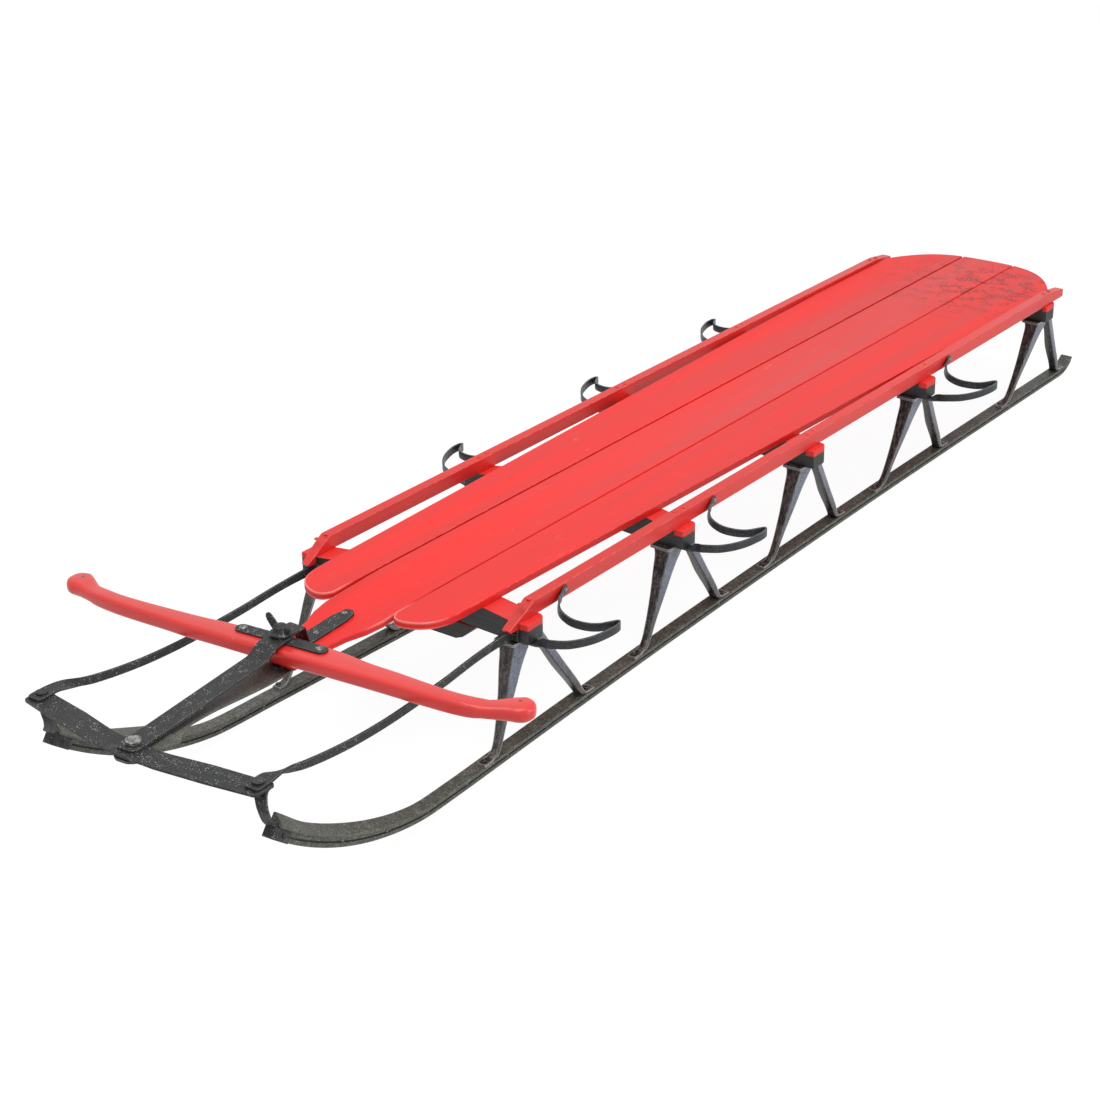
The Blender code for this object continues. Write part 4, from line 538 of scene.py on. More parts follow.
def make_knee_iron():
    """Black on the pressed knees: warm grey streaks in front, painted highlights on the side flange and, with
    rubbing, on the ridge.
    """
    material, tree, shader, coordinates = start_finish("knee_iron")
    colour = tuple(paint().knee_black)
    streaks = noise(tree, stretched(tree, coordinates, (1.0, 1.0, 0.10)), 230.0, 5.0, 0.65)
    tone = painted_over(tree, spread(tree, streaks, 0.46, 0.72, 0.0, 0.85), colour, shade(112, 102, 94))
    place = shader_node(tree, "ShaderNodeSeparateXYZ", {0: coordinates}).outputs
    # Painted highlight: faces that look sideways, most of all near the top, get a pale bluish rippled sheen for the
    # side lamp's reflection.
    aside = shader_node(tree, "ShaderNodeMath", {0: facing(tree, "X")}, operation="ABSOLUTE").outputs[0]
    higher = spread(tree, place["Z"], 0.045, 0.14, 0.1, 1.0)
    flange = arithmetic(tree, "MULTIPLY", spread(tree, aside, 0.80, 0.97), higher)
    ripples = noise(tree, stretched(tree, coordinates, (1.0, 0.35, 1.6)), 330.0, 3.0, 0.6)
    painted_sheen = arithmetic(tree, "MULTIPLY", flange, spread(tree, ripples, 0.30, 0.62, 0.25, 1.0))
    painted_sheen = arithmetic(tree, "MULTIPLY", painted_sheen, 0.62)
    tone = painted_over(tree, painted_sheen, tone, shade(140, 150, 176))
    # The bright ridge and edges are partly rubbed metal and partly a painted highlight.
    edge_settings = {"Coordinates": coordinates, "Radius": 0.0032, "Amount": 0.74, "Scale": 60.0}
    tone = laid_on(tree, tone, "Worn edges", edge_settings, 0.90, shade(206, 204, 200))
    specks = {"Coordinates": coordinates, "Amount": 0.16}
    tone = laid_on(tree, tone, "Chipped specks", specks, 0.7, shade(158, 156, 150))
    tree.links.new(tone, shader.inputs["Base Color"])
    tree.links.new(spread(tree, streaks, 0.35, 0.75, 0.26, 0.46), shader.inputs["Roughness"])
    bump(tree, shader, streaks, 0.25, 0.0006)
    return material


def make_runner_steel():
    """Weathered steel: olive grey with brown dirt, fine cross marks and pale grit."""
    material, tree, shader, coordinates = start_finish("weathered_steel")
    colour = tuple(paint().runner_grey)
    dirt_and_shade = noise(tree, coordinates, 26.0, 5.0, 0.62)
    tone = painted_over(tree, spread(tree, dirt_and_shade, 0.38, 0.64), tuple(value * 0.66 for value in colour), colour)
    rust = noise(tree, coordinates, 60.0, 4.0, 0.6)
    tone = painted_over(tree, spread(tree, rust, 0.60, 0.76, 0.0, 0.30), tone, shade(110, 94, 78))
    marks = noise(tree, stretched(tree, coordinates, (1.0, 0.45, 1.0)), 430.0, 4.0, 0.7)
    tone = painted_over(tree, spread(tree, marks, 0.50, 0.70, 0.0, 0.75), tone, shade(126, 126, 114))
    shadow = tuple(value * 0.30 for value in colour)
    tone = painted_over(tree, spread(tree, marks, 0.48, 0.36, 0.0, 0.85), tone, shadow)
    edge_settings = {"Coordinates": coordinates, "Radius": 0.0015, "Amount": 0.42}
    tone = laid_on(tree, tone, "Worn edges", edge_settings, 0.5, shade(150, 148, 136))
    specks = {"Coordinates": coordinates, "Amount": 0.17}
    tone = laid_on(tree, tone, "Chipped specks", specks, 0.7, shade(196, 194, 178))
    tree.links.new(tone, shader.inputs["Base Color"])
    tree.links.new(spread(tree, dirt_and_shade, 0.35, 0.7, 0.46, 0.62), shader.inputs["Roughness"])
    bump(tree, shader, marks, 0.30, 0.0005)
    return material


def make_groove_shade():
    """Painted shade in the shoe's grooves, dark where the strip and the groove's walls shade them."""
    material, tree, shader, coordinates = start_finish("groove_dirt")
    dirt_and_shade = noise(tree, coordinates, 120.0, 4.0, 0.6)
    tone = painted_over(tree, spread(tree, dirt_and_shade, 0.40, 0.72), shade(24, 23, 20), shade(62, 58, 48))
    tree.links.new(tone, shader.inputs["Base Color"])
    tree.links.new(spread(tree, dirt_and_shade, 0.3, 0.7, 0.65, 0.85), shader.inputs["Roughness"])
    bump(tree, shader, dirt_and_shade, 0.3, 0.0008)
    return material


def make_bright_steel():
    """Bolt and rivet heads, rubbed bright on top."""
    material, tree, shader, coordinates = start_finish("bright_steel")
    worn = noise(tree, coordinates, 210.0, 4.0, 0.6)
    tone = painted_over(tree, spread(tree, worn, 0.40, 0.62), shade(70, 70, 70), shade(160, 160, 156))
    tree.links.new(tone, shader.inputs["Base Color"])
    shader.inputs["Metallic"].default_value = 0.4
    tree.links.new(spread(tree, worn, 0.3, 0.7, 0.5, 0.34), shader.inputs["Roughness"])
    bump(tree, shader, worn, 0.2, 0.0004)
    return material


FINISHES = {
    "deck_paint": ("red_paint", make_deck_paint),
    "rail_paint": (
        "red_paint",
        lambda: painted_wood("rail_paint", tuple(paint().rail_red), (1.0, 0.04, 1.0), 0.36, 0.10, 0.40),
    ),
    "bar_paint": (
        "red_paint",
        lambda: painted_wood("bar_paint", tuple(paint().bar_red), (0.05, 1.0, 1.0), 0.30, 0.25, 0.24),
    ),
    "bench_paint": ("black_paint", make_bench_paint),
    "strap_iron": (
        "black_iron",
        lambda: chipped_iron("strap_iron", tuple(paint().iron_black), 0.15, 0.52, 0.46, 0.45),
    ),
    "rest_iron": ("black_iron", lambda: chipped_iron("rest_iron", shade(36, 38, 42), 0.06, 0.50, 0.30, 0.18)),
    "knee_iron": ("black_iron", make_knee_iron),
    # Pale worn iron for the lower lever strap and the gusset. On the lower strap the paleness is partly painted
    # light, standing in for light on a strap that the upper strap shades.
    "pale_iron": ("worn_iron", lambda: chipped_iron("pale_iron", shade(72, 72, 67), 0.10, 0.40, 0.42, 0.30)),
    "weathered_steel": ("runner_steel", make_runner_steel),
    "groove_dirt": ("runner_steel", make_groove_shade),
    "bright_steel": ("worn_iron", make_bright_steel),
}


def finish(name):
    """The material of that name, made the first time it is asked for."""
    return bpy.data.materials.get(name) or FINISHES[name][1]()


# Meshes


def mesh_from(name, shape):
    """Finish a bmesh with its faces pointing out."""
    bmesh.ops.recalc_face_normals(shape, faces=shape.faces)
    mesh = bpy.data.meshes.new(name)
    shape.to_mesh(mesh)
    shape.free()
    return mesh


def frame_shape(node):
    """The frame's solid as a bmesh of its own, welded and with its flat faces joined."""
    shape = bmesh.new()
    shape.from_mesh(frame["nodes"][node].data)
    bmesh.ops.remove_doubles(shape, verts=shape.verts, dist=0.00002)
    bmesh.ops.dissolve_limit(shape, angle_limit=math.radians(0.8), verts=shape.verts, edges=shape.edges)
    return shape


def cut_away(shape, place, out):
    """Cut off what lies beyond a plane, and close the cut."""
    parts = shape.verts[:] + shape.edges[:] + shape.faces[:]
    cut = bmesh.ops.bisect_plane(shape, geom=parts, plane_co=place, plane_no=out, clear_outer=True)
    bmesh.ops.holes_fill(shape, edges=[item for item in cut["geom_cut"] if isinstance(item, bmesh.types.BMEdge)])


def loft(sections, shape=None, groove=None):
    """Skin closed sections with the same number of points. Groove gives a section's quads that get the painted
    shade.
    """
    shape = shape or bmesh.new()
    loops = [[shape.verts.new(point) for point in section] for section in sections]
    for near_loop, far_loop in zip(loops, loops[1:]):
        for index in range(len(near_loop)):
            following = (index + 1) % len(near_loop)
            corners = (near_loop[index], near_loop[following], far_loop[following], far_loop[index])
            face = shape.faces.new(corners)
            if groove and index in groove:
                face.material_index = 1
    shape.faces.new(loops[0][::-1])
    shape.faces.new(loops[-1])
    return shape


def turned(profile, middle, steps=24, shape=None, up=(0.0, 0.0, 1.0)):
    """Add a turned piece. Its profile is rows of radius and height, from its axis to its axis."""
    shape = shape or bmesh.new()
    turn = Vector((0.0, 0.0, 1.0)).rotation_difference(Vector(up)).to_matrix()
    rings = []
    for radius, height in profile:
        if radius == 0.0:
            rings.append([shape.verts.new(Vector(middle) + turn @ Vector((0.0, 0.0, height)))])
            continue
        ring = []
        for step in range(steps):
            angle = 2 * math.pi * step / steps
            point = Vector((radius * math.cos(angle), radius * math.sin(angle), height))
            ring.append(shape.verts.new(Vector(middle) + turn @ point))
        rings.append(ring)
    for low, high in zip(rings, rings[1:]):
        for step in range(steps):
            following = (step + 1) % steps
            if len(low) == 1:
                shape.faces.new((low[0], high[following], high[step]))
            elif len(high) == 1:
                shape.faces.new((low[step], low[following], high[0]))
            else:
                shape.faces.new((low[step], low[following], high[following], high[step]))
    return shape


def smooth_rows(rows, steps):
    """Rows of numbers read off a smooth curve through the given rows."""
    result = []
    for index in range(len(rows) - 1):
        before = rows[max(index - 1, 0)]
        start = rows[index]
        end = rows[index + 1]
        after = rows[min(index + 2, len(rows) - 1)]
        for step in range(steps):
            t = step / steps
            row = []
            for p0, p1, p2, p3 in zip(before, start, end, after):
                row.append(
                    (2 * t**3 - 3 * t**2 + 1) * p1
                    + (t**3 - 2 * t**2 + t) * (p2 - p0) / 2
                    + (3 * t**2 - 2 * t**3) * p2
                    + (t**3 - t**2) * (p3 - p1) / 2
                )
            result.append(row)
    result.append(list(rows[-1]))
    return result


def strap(rows, shape=None):
    """A flat bar along a path. A row is a middle point, the direction of the width, width and thickness."""
    middles = [Vector(row[0:3]) for row in rows]
    sections = []
    for index, row in enumerate(rows):
        ahead = middles[min(index + 1, len(rows) - 1)] - middles[max(index - 1, 0)]
        ahead.normalize()
        across = Vector(row[3:6])
        across = (across - ahead * across.dot(ahead)).normalized()
        through = ahead.cross(across)
        half_width = across * (row[6] / 2)
        half_thickness = through * (row[7] / 2)
        middle = middles[index]
        sections.append(
            (
                middle - half_width - half_thickness,
                middle + half_width - half_thickness,
                middle + half_width + half_thickness,
                middle - half_width + half_thickness,
            )
        )
    return loft(sections, shape)


def bent_path(corners, steps=8):
    """An open path of y and z through corners given as y, z and a bending radius."""
    path = []
    last = len(corners) - 1
    for index, (y, z, radius) in enumerate(corners):
        corner = Vector((y, z))
        if index in (0, last) or radius == 0:
            path.append((y, z))
            continue
        before = Vector(corners[index - 1][:2]) - corner
        after = Vector(corners[index + 1][:2]) - corner
        half_angle = before.angle(after) / 2
        reach = min(radius / math.tan(half_angle), before.length * 0.49, after.length * 0.49)
        start = corner + before.normalized() * reach
        end = corner + after.normalized() * reach
        for step in range(steps + 1):
            share = step / steps
            point = start * (1 - share) ** 2 + corner * 2 * share * (1 - share) + end * share**2
            path.append((point.x, point.y))
    return path


def smooth_step(share):
    share = min(max(share, 0.0), 1.0)
    return share * share * (3 - 2 * share)


def body_place(body):
    """Where a body's own origin stands at rest, and how far it is turned there."""
    joint = {
        "steering": "steering_pivot",
        "bumper_bar": "bumper_pin",
        "left_strut": "left_strut_flex",
        "right_strut": "right_strut_flex",
        "left_runner_front": "left_runner_flex",
        "right_runner_front": "right_runner_flex",
    }.get(body)
    if joint is None:
        return Matrix.Translation((0.0, PIVOT_Y, 0.0))
    x, y, z = JOINTS[joint]["pos_m"]
    turn = {"steering": TURN, "bumper_bar": 0.0}.get(body, TURN * RATIOS.get(joint, 0.0))
    return Matrix.Translation((x, y, 0.0)) @ Matrix.Rotation(turn, 4, "Z")


def add_piece(name, shape, finishes, body, nodes=(), rounding=0.0, place=None, rides=True):
    """Turn a bmesh into a piece of the sled that stands for some of the frame's solids."""
    if place is not None:
        bmesh.ops.transform(shape, matrix=place, verts=shape.verts)
    mesh = mesh_from(name, shape)
    mesh.shade_smooth()
    mesh.set_sharp_from_angle(angle=math.radians(38.0))
    piece = bpy.data.objects.new(name, mesh)
    bpy.context.scene.collection.objects.link(piece)
    for finish_name in finishes:
        mesh.materials.append(finish(finish_name))
    if rounding:
        bevel = piece.modifiers.new("Rounded edges", "BEVEL")
        bevel.width = rounding
        bevel.segments = 2
        bevel.limit_method = "ANGLE"
        bevel.angle_limit = math.radians(32.0)
        bevel.harden_normals = True
    if nodes:
        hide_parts(*nodes)
    if rides:
        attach(piece, body)
    return piece


def dome(radius, height):
    """The profile of a low round head."""
    rows = [(radius, 0.0), (radius, height * 0.25)]
    for step in range(1, 5):
        angle = math.radians(90.0 * step / 5)
        rows.append((radius * math.cos(angle), height * (0.25 + 0.75 * math.sin(angle))))
    rows.append((0.0, height))
    return rows


# Runners, struts and other bent irons


def runner_x(y):
    """The runner's distance from the sled's middle, which grows toward the front."""
    forward = max(1.8145 - y, 0.0)
    return 0.1655 + 0.0134 * forward**2


def runner_bend(y):
    """Height and slope of the sole at a place along the runner."""
    if y < NOSE_BEND_Y:
        reach, radius, direction = NOSE_BEND_Y - y, NOSE_RADIUS, -1.0
    elif y > TAIL_BEND_Y:
        reach, radius, direction = y - TAIL_BEND_Y, TAIL_RADIUS, 1.0
    else:
        return 0.0, 0.0
    angle = math.asin(reach / radius)
    return radius * (1 - math.cos(angle)), direction * angle


def runner_middle(y):
    """The runner's middle in plan before it is bent sideways by the steering."""
    if y >= SPLIT_Y:
        return runner_x(y)
    slope = (0.212 - SPLIT_X) / (SPLIT_Y + 0.2905)
    return SPLIT_X + slope * (SPLIT_Y - y)


def steered(point, joint, start, end):
    """A point of a bent piece, turned by its share of the joint's turn."""
    hinge = Vector(JOINTS[joint]["pos_m"])
    share = smooth_step((point.y - start) / (end - start))
    return hinge + Matrix.Rotation(TURN * RATIOS[joint] * share, 3, "Z") @ (point - hinge)


def runner_point(side, y, across, height):
    """A point of the runner's section at a place along it, in the sled's own space."""
    sole, slope = runner_bend(y)
    point = Vector(
        (
            side * (runner_middle(y) + across),
            PIVOT_Y + y - height * math.sin(slope),
            sole + height * math.cos(slope),
        )
    )
    side_name = "left" if side > 0 else "right"
    return steered(point, f"{side_name}_runner_flex", *RUNNER_BLEND)


def strip_tilt(y):
    """How far the strip leans toward the sled's left near the toe, as the steering twists it."""
    return math.radians(25.0 * smooth_step((0.06 - y) / 0.24) + 12.0 * smooth_step((-0.225 - y) / 0.065))


def tilted(side, y, across, height):
    """A point of the strip's section, leaned about the strip's edge on the sled's left."""
    angle = strip_tilt(y)
    inward = STRIP_HALF - side * across
    rise = height - STRIP_TOP + STRIP_THICK
    away = inward * math.cos(angle) - rise * math.sin(angle)
    lifted = inward * math.sin(angle) + rise * math.cos(angle)
    return side * (STRIP_HALF - away), STRIP_TOP - STRIP_THICK + lifted


def runner_stations(tip):
    """The places along a runner where its section is drawn, closer together in the bends."""
    front = [tip + (NOSE_BEND_Y - tip) * step / 44 for step in range(44)]
    middle = [NOSE_BEND_Y + (TAIL_BEND_Y - NOSE_BEND_Y) * step / 60 for step in range(60)]
    tail = [TAIL_BEND_Y + (TAIL_END_Y - TAIL_BEND_Y) * step / 12 for step in range(13)]
    return front + middle + tail


def shoe_section():
    """Half of the shoe's section from the sole up: width and share of the height."""
    return [
        (0.0052, 0.0),
        (0.0062, 0.05),
        (0.0066, 0.14),
        (0.0066, 0.34),
        (0.0061, 0.42),
        (0.0046, 0.46),
        (0.0046, 0.56),
        (0.0061, 0.60),
        (0.0066, 0.68),
        (0.0066, 0.90),
        (0.0066, 1.0),
    ]


def add_runner(side_name, side):
    """One whole runner: the strip, the shoe under it, and the rivets in its grooves."""
    strip_low = STRIP_TOP - STRIP_THICK
    body = f"{side_name}_runner_front"
    stations = runner_stations(TIPS[side_name])
    round_edge = 0.0008
    half = STRIP_HALF
    outline = [
        (-half, strip_low + round_edge),
        (-half + round_edge, strip_low),
        (half - round_edge, strip_low),
        (half, strip_low + round_edge),
        (half, STRIP_TOP - round_edge),
        (half - round_edge, STRIP_TOP),
        (-half + round_edge, STRIP_TOP),
        (-half, STRIP_TOP - round_edge),
    ]
    sections = []
    for y in stations:
        sections.append([runner_point(side, y, *tilted(side, y, across, height)) for across, height in outline])
    strip = add_piece(
        f"strip_{side_name}", loft(sections), ["weathered_steel"], body,
        (f"runner_{side_name}_strip", f"runner_{side_name}_front_strip"), rides=False,
    )
    right = [(width, SHOE_HEIGHT * share) for width, share in shoe_section()]
    outline = right + [(-width, height) for width, height in reversed(right)]
    count = len(right)
    # The grooves' quads get the second finish, a painted shade for the recess.
    groove = [4, 5, 6, count + 4, count + 5, count + 3]
    sections = []
    for y in stations:
        section = []
        for across, height in outline:
            lift = (STRIP_HALF - side * across) * math.tan(strip_tilt(y)) if height > 0.012 else 0.0
            section.append(runner_point(side, y, across, height + lift))
        sections.append(section)
    shoe = add_piece(
        f"shoe_{side_name}", loft(sections, groove=groove), ["weathered_steel", "groove_dirt"], body,
        (f"runner_{side_name}_shoe", f"runner_{side_name}_front_shoe"), rides=False,
    )
    studs = bmesh.new()
    y = -0.255
    while y < 2.20:
        for face in (1.0, -1.0):
            middle = runner_point(side, y, face * 0.0040, SHOE_HEIGHT / 2)
            turned(dome(0.0021, 0.0016), middle, 10, studs, (side * face, 0.0, 0.0))
        y += 0.101
    studs = add_piece(f"shoe_studs_{side_name}", studs, ["bright_steel"], body, rides=False)
    for piece in (strip, shoe, studs):
        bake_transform(piece)


def add_strut(side_name, side):
    """A side strut from its root plate on the first bench to its flat tab on the bumper's end."""
    tab_z = BUMPER_TOP + GAP + 0.002
    rivet_x = 0.202 - STRUT_X
    length = 0.557
    rear_z = 0.195
    tall = 0.0125
    # Rows of y from the root, z, the width's direction (level and upright share) and the width
    shape = [
        (0.016, rear_z, 0.0, 1.0, 0.016),
        (0.000, rear_z, 0.0, 1.0, 0.0145),
        (-0.050, rear_z - 0.0008, 0.0, 1.0, tall),
        (-0.130, rear_z - 0.0017, 0.0, 1.0, tall),
        (-0.200, rear_z - 0.0020, 0.0, 1.0, tall),
        (-0.280, rear_z - 0.0010, 0.0, 1.0, tall),
        (-0.350, rear_z + 0.0035, 0.0, 1.0, tall),
        (-0.410, rear_z + 0.0110, 0.0, 1.0, tall),
        (-0.460, rear_z + 0.0200, 0.15, 1.0, tall),
        (-0.490, rear_z + 0.0280, 0.45, 0.9, tall),
        (-0.512, rear_z + 0.0345, 0.85, 0.5, tall + 0.003),
        (-0.530, tab_z - 0.0010, 1.0, 0.1, tall + 0.008),
        (-0.541, tab_z, 1.0, 0.0, tall + 0.011),
        (-0.560, tab_z, 1.0, 0.0, tall + 0.012),
        (-0.568, tab_z, 1.0, 0.0, tall + 0.011),
        (-0.572, tab_z, 1.0, 0.0, tall + 0.006),
    ]
    joint = f"{side_name}_strut_flex"
    hinge = Vector(JOINTS[joint]["pos_m"])
    start, end = STRUT_BLEND
    rows = []
    for y, z, flat, edge, width in smooth_rows(shape, 5):
        x = rivet_x * min(max(-y / length, 0.0), 1.0)
        point = steered(Vector((hinge.x + side * x, hinge.y + y, z)), joint, start, end)
        rows.append((*point, side * flat, 0.0, edge, width, IRON_THICK))
    strut = strap(rows)
    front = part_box("bench_1")[0].y - GAP
    low, high = rear_z - 0.0085, rear_z + 0.0085
    plate = []
    for x in (hinge.x - 0.012, hinge.x + 0.012):
        ahead = front - IRON_THICK
        plate.append([(x, ahead, low), (x, ahead, high), (x, front, high), (x, front, low)])
    loft(plate, strut)
    body = f"{side_name}_strut"
    piece = add_piece(
        f"side_strut_{side_name}", strut, ["strap_iron"], body,
        (f"strut_{side_name}", f"strut_root_{side_name}"), rounding=sizes().iron_round, rides=False,
    )
    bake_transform(piece)


def rounded_angle(across, flange, thick):
    """The section of a pressed angle: inward and deep distances round a soft ridge and an inner fillet."""
    ridge = min(0.0024, flange * 0.45)
    fillet = max(min(0.004, flange - thick - 0.0005, across - thick - 0.0005), 0.0002)
    points = []
    for degrees in (90.0, 60.0, 30.0, 0.0):
        angle = math.radians(degrees)
        points.append((ridge - ridge * math.sin(angle), ridge - ridge * math.cos(angle)))
    result = [(across, 0.0), (across, thick)]
    for degrees in (0.0, 30.0, 60.0, 90.0):
        angle = math.radians(degrees)
        result.append((thick + fillet - fillet * math.sin(angle), thick + fillet - fillet * math.cos(angle)))
    result += [(thick * 0.85, flange), (0.0, flange)]
    return result + points


def angle_leg(places, top_x, foot_x, level_above, side, shape):
    """A pressed angle leg through rows of y, z, width across and width of the side flange."""
    thick = KNEE_THICK
    places = smooth_rows(places, 4)
    top_z = places[0][1]
    foot_z = places[-1][1]
    sections = []
    for index, (y, z, across, flange) in enumerate(places):
        before = places[max(index - 1, 0)]
        after = places[min(index + 1, len(places) - 1)]
        run = Vector((after[0] - before[0], after[1] - before[1])).normalized()
        level = smooth_step((z - level_above) / 0.02)
        depth = Vector((1.0, 0.0)).lerp(Vector((-run.y, run.x)), 1.0 - level).normalized()
        if depth.y < -0.01:
            flange = min(flange, (z - STRIP_TOP - GAP) / -depth.y)
        flange = max(flange, thick * 1.02)
        outer = foot_x + (top_x - foot_x) * (z - foot_z) / (top_z - foot_z)
        section = []
        for inward, deep in rounded_angle(across, flange, thick):
            section.append((side * (outer - inward), PIVOT_Y + y + depth.x * deep, z + depth.y * deep))
        sections.append(section)
    return loft(sections, shape)


def add_knee(number, side_name, side):
    """One pressed knee with its broad front leg, narrow rear leg, cap and riveted feet."""
    station = STATIONS[number - 1]
    pad_z = STRIP_TOP + GAP
    thick = KNEE_THICK
    top = BENCH_BOTTOM - GAP - 0.002
    # Rows of y from the bench's middle, z, width across and width of the side flange
    front = [
        (-0.0405, top, 0.031, 0.046),
        (-0.0440, top - 0.012, 0.0255, 0.039),
        (-0.0540, 0.145, 0.0215, 0.030),
        (-0.0660, 0.109, 0.0170, 0.0205),
        (-0.0790, 0.075, 0.0135, 0.0130),
        (-0.0880, 0.052, 0.0120, 0.0095),
        (-0.0940, 0.039, 0.0115, 0.0080),
        (-0.1000, 0.030, 0.0120, 0.0070),
        (-0.1080, pad_z + thick + 0.0012, 0.0140, 0.0),
        (-0.1170, pad_z + thick, 0.0170, 0.0),
        (-0.1270, pad_z + thick, 0.0150, 0.0),
    ]
    rear = [
        (0.0100, top, 0.018, 0.014),
        (0.0375, 0.143, 0.0145, 0.0135),
        (0.0735, 0.094, 0.018, 0.0125),
        (0.1060, 0.052, 0.0165, 0.0110),
        (0.1190, 0.034, 0.016, 0.0095),
        (0.1280, 0.0245, 0.018, 0.0075),
        (0.1380, pad_z, 0.021, 0.005),
        (0.1500, pad_z, 0.021, 0.0),
        (0.1600, pad_z, 0.016, 0.0),
    ]
    shape = bmesh.new()
    front_foot = station - 0.128
    rear_foot = station + 0.148
    front_x = runner_x(front_foot) + 0.0115
    rear_x = runner_x(rear_foot) + 0.0115
    angle_leg([(station + y, z, a, f) for y, z, a, f in front], 0.203, front_x, 0.040, side, shape)
    angle_leg([(station + y, z, a, f) for y, z, a, f in rear], 0.2005, rear_x, 0.9, side, shape)
    cap_low, cap_high = top - 0.002, top + 0.002
    plan = [
        (0.205, -0.0395), (0.2045, -0.0425), (0.2025, -0.0445), (0.171, -0.0445), (0.1675, -0.043),
        (0.166, -0.039), (0.169, 0.020), (0.171, 0.0255), (0.176, 0.028), (0.197, 0.028), (0.2025, 0.0255),
        (0.205, 0.020),
    ]
    cap = [[(side * x, PIVOT_Y + station + y, z) for x, y in plan] for z in (cap_low, cap_high)]
    loft(cap, shape)
    add_piece(
        f"pressed_knee_{side_name}_{number}", shape, ["knee_iron"], "sled", (f"knee_{side_name}_{number}",),
        rounding=0.0005,
    )
    rivets = bmesh.new()
    head = dome(sizes().rivet_radius, 0.0026)
    feet = (
        (front_foot + 0.006, front_x - 0.0080, pad_z + thick * 2),
        (rear_foot + 0.004, rear_x - 0.0108, pad_z + thick),
    )
    for foot, x, height in feet:
        middle = (side * x, PIVOT_Y + foot, height - 0.0006)
        turned(head, middle, 16, rivets)
    for y in (-0.028, 0.014):
        turned(dome(0.0042, 0.003), (side * 0.186, PIVOT_Y + station + y, cap_low), 14, rivets, (0.0, 0.0, -1.0))
    add_piece(f"knee_rivets_{side_name}_{number}", rivets, ["strap_iron"], "sled")


def add_foot_rest(number, side_name, side):
    """A hooped foot rest: out from the bench, back on itself, and up to the rail."""
    station = STATIONS[number - 1]
    root_z = BENCH_BOTTOM - GAP - 0.0015
    rail = RAIL_OUTER_X + GAP + 0.0015
    tall = 0.013
    # Rows of a point, the width's direction and the width
    rows = [
        (0.2125, -0.016, root_z, 0.0, 1.0, 0.0, 0.018),
        (0.2240, -0.016, root_z, 0.0, 1.0, 0.05, 0.017),
        (0.2370, -0.016, root_z + 0.004, 0.0, 0.7, 0.7, 0.014),
        (0.2560, -0.021, 0.1905, 0.0, 0.15, 1.0, tall),
        (0.2840, -0.012, 0.1945, 0.0, 0.0, 1.0, tall),
        (0.3050, 0.014, 0.1975, 0.0, 0.0, 1.0, tall),
        (0.3150, 0.046, 0.2000, 0.0, 0.0, 1.0, tall),
        (0.3155, 0.066, 0.2010, 0.0, 0.0, 1.0, tall),
        (0.3110, 0.0715, 0.2015, 0.0, 0.0, 1.0, tall),
        (0.3070, 0.066, 0.2020, 0.0, 0.0, 1.0, tall),
        (0.2950, 0.044, 0.2030, 0.0, 0.0, 1.0, tall),
        (0.2780, 0.033, 0.2040, 0.0, 0.0, 1.0, tall),
        (0.2540, 0.030, 0.2055, 0.0, 0.0, 1.0, tall),
        (0.2300, 0.037, 0.2100, 0.0, 0.0, 1.0, tall),
        (0.2175, 0.050, 0.2165, 0.0, 0.25, 1.0, tall),
        (rail + 0.0034, 0.061, 0.2230, 0.0, 0.55, 0.85, tall),
        (rail + 0.0007, 0.072, 0.2275, 0.0, 0.50, 0.90, tall),
        (rail + 0.0004, 0.080, 0.2300, 0.0, 0.35, 1.0, tall * 0.95),
    ]
    placed = []
    for x, y, z, ax, ay, az, width in smooth_rows(rows, 6):
        placed.append((side * x, PIVOT_Y + station + y, z, side * ax, ay, az, width, REST_THICK))
    add_piece(
        f"hoop_rest_{side_name}_{number}", strap(placed), ["rest_iron"], "sled",
        (f"foot_rest_{side_name}_{number}",), rounding=0.0005,
    )
    bolts = bmesh.new()
    on_rail = (side * (rail + 0.0019), PIVOT_Y + station + 0.075, 0.2287)
    turned(dome(0.0038, 0.0022), on_rail, 14, bolts, (side, 0.0, 0.0))
    under_bench = (side * 0.2165, PIVOT_Y + station - 0.016, root_z - 0.0015)
    turned(dome(0.0042, 0.0026), under_bench, 14, bolts, (0.0, 0.0, -1.0))
    add_piece(f"rest_bolts_{side_name}_{number}", bolts, ["bright_steel"], "sled")


# Wood


def add_flat(node, finish_name, body, rounding):
    """A flat piece in the frame's own shape, with rounded edges and a better surface."""
    return add_piece(f"worn_{node}", frame_shape(node), [finish_name], body, (node,), rounding=rounding)


# An outer board's rounded lobe, as x and y from the pivot
LOBE = (
    (0.0603, 0.1760), (0.0680, 0.1630), (0.0800, 0.1580), (0.0970, 0.1615), (0.1120, 0.1695), (0.1240, 0.1810),
    (0.1320, 0.1960), (0.1370, 0.2150), (0.1390, 0.2450), (0.1405, 0.3000),
)


def add_outer_board(side_name, side):
    """An outer board with its rounded lobe in front and its share of the arched rear edge."""
    node = f"deck_board_{side_name}"
    plan = [tuple(row) for row in smooth_rows(LOBE, 4)]
    inner, outer = LOBE[0][0], 0.187
    plan.append((outer, 1.785))
    for step in range(15):
        x = outer - (outer - inner) * step / 14
        plan.append((x, 2.1795 - 0.1067 * (x / outer) ** 3.24))
    sections = []
    for z in (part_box(node)[0].z, DECK_TOP):
        sections.append([(side * x, PIVOT_Y + y, z) for x, y in plan])
    add_piece(f"worn_{node}", loft(sections), ["deck_paint"], "sled", (node,), rounding=sizes().board_round)


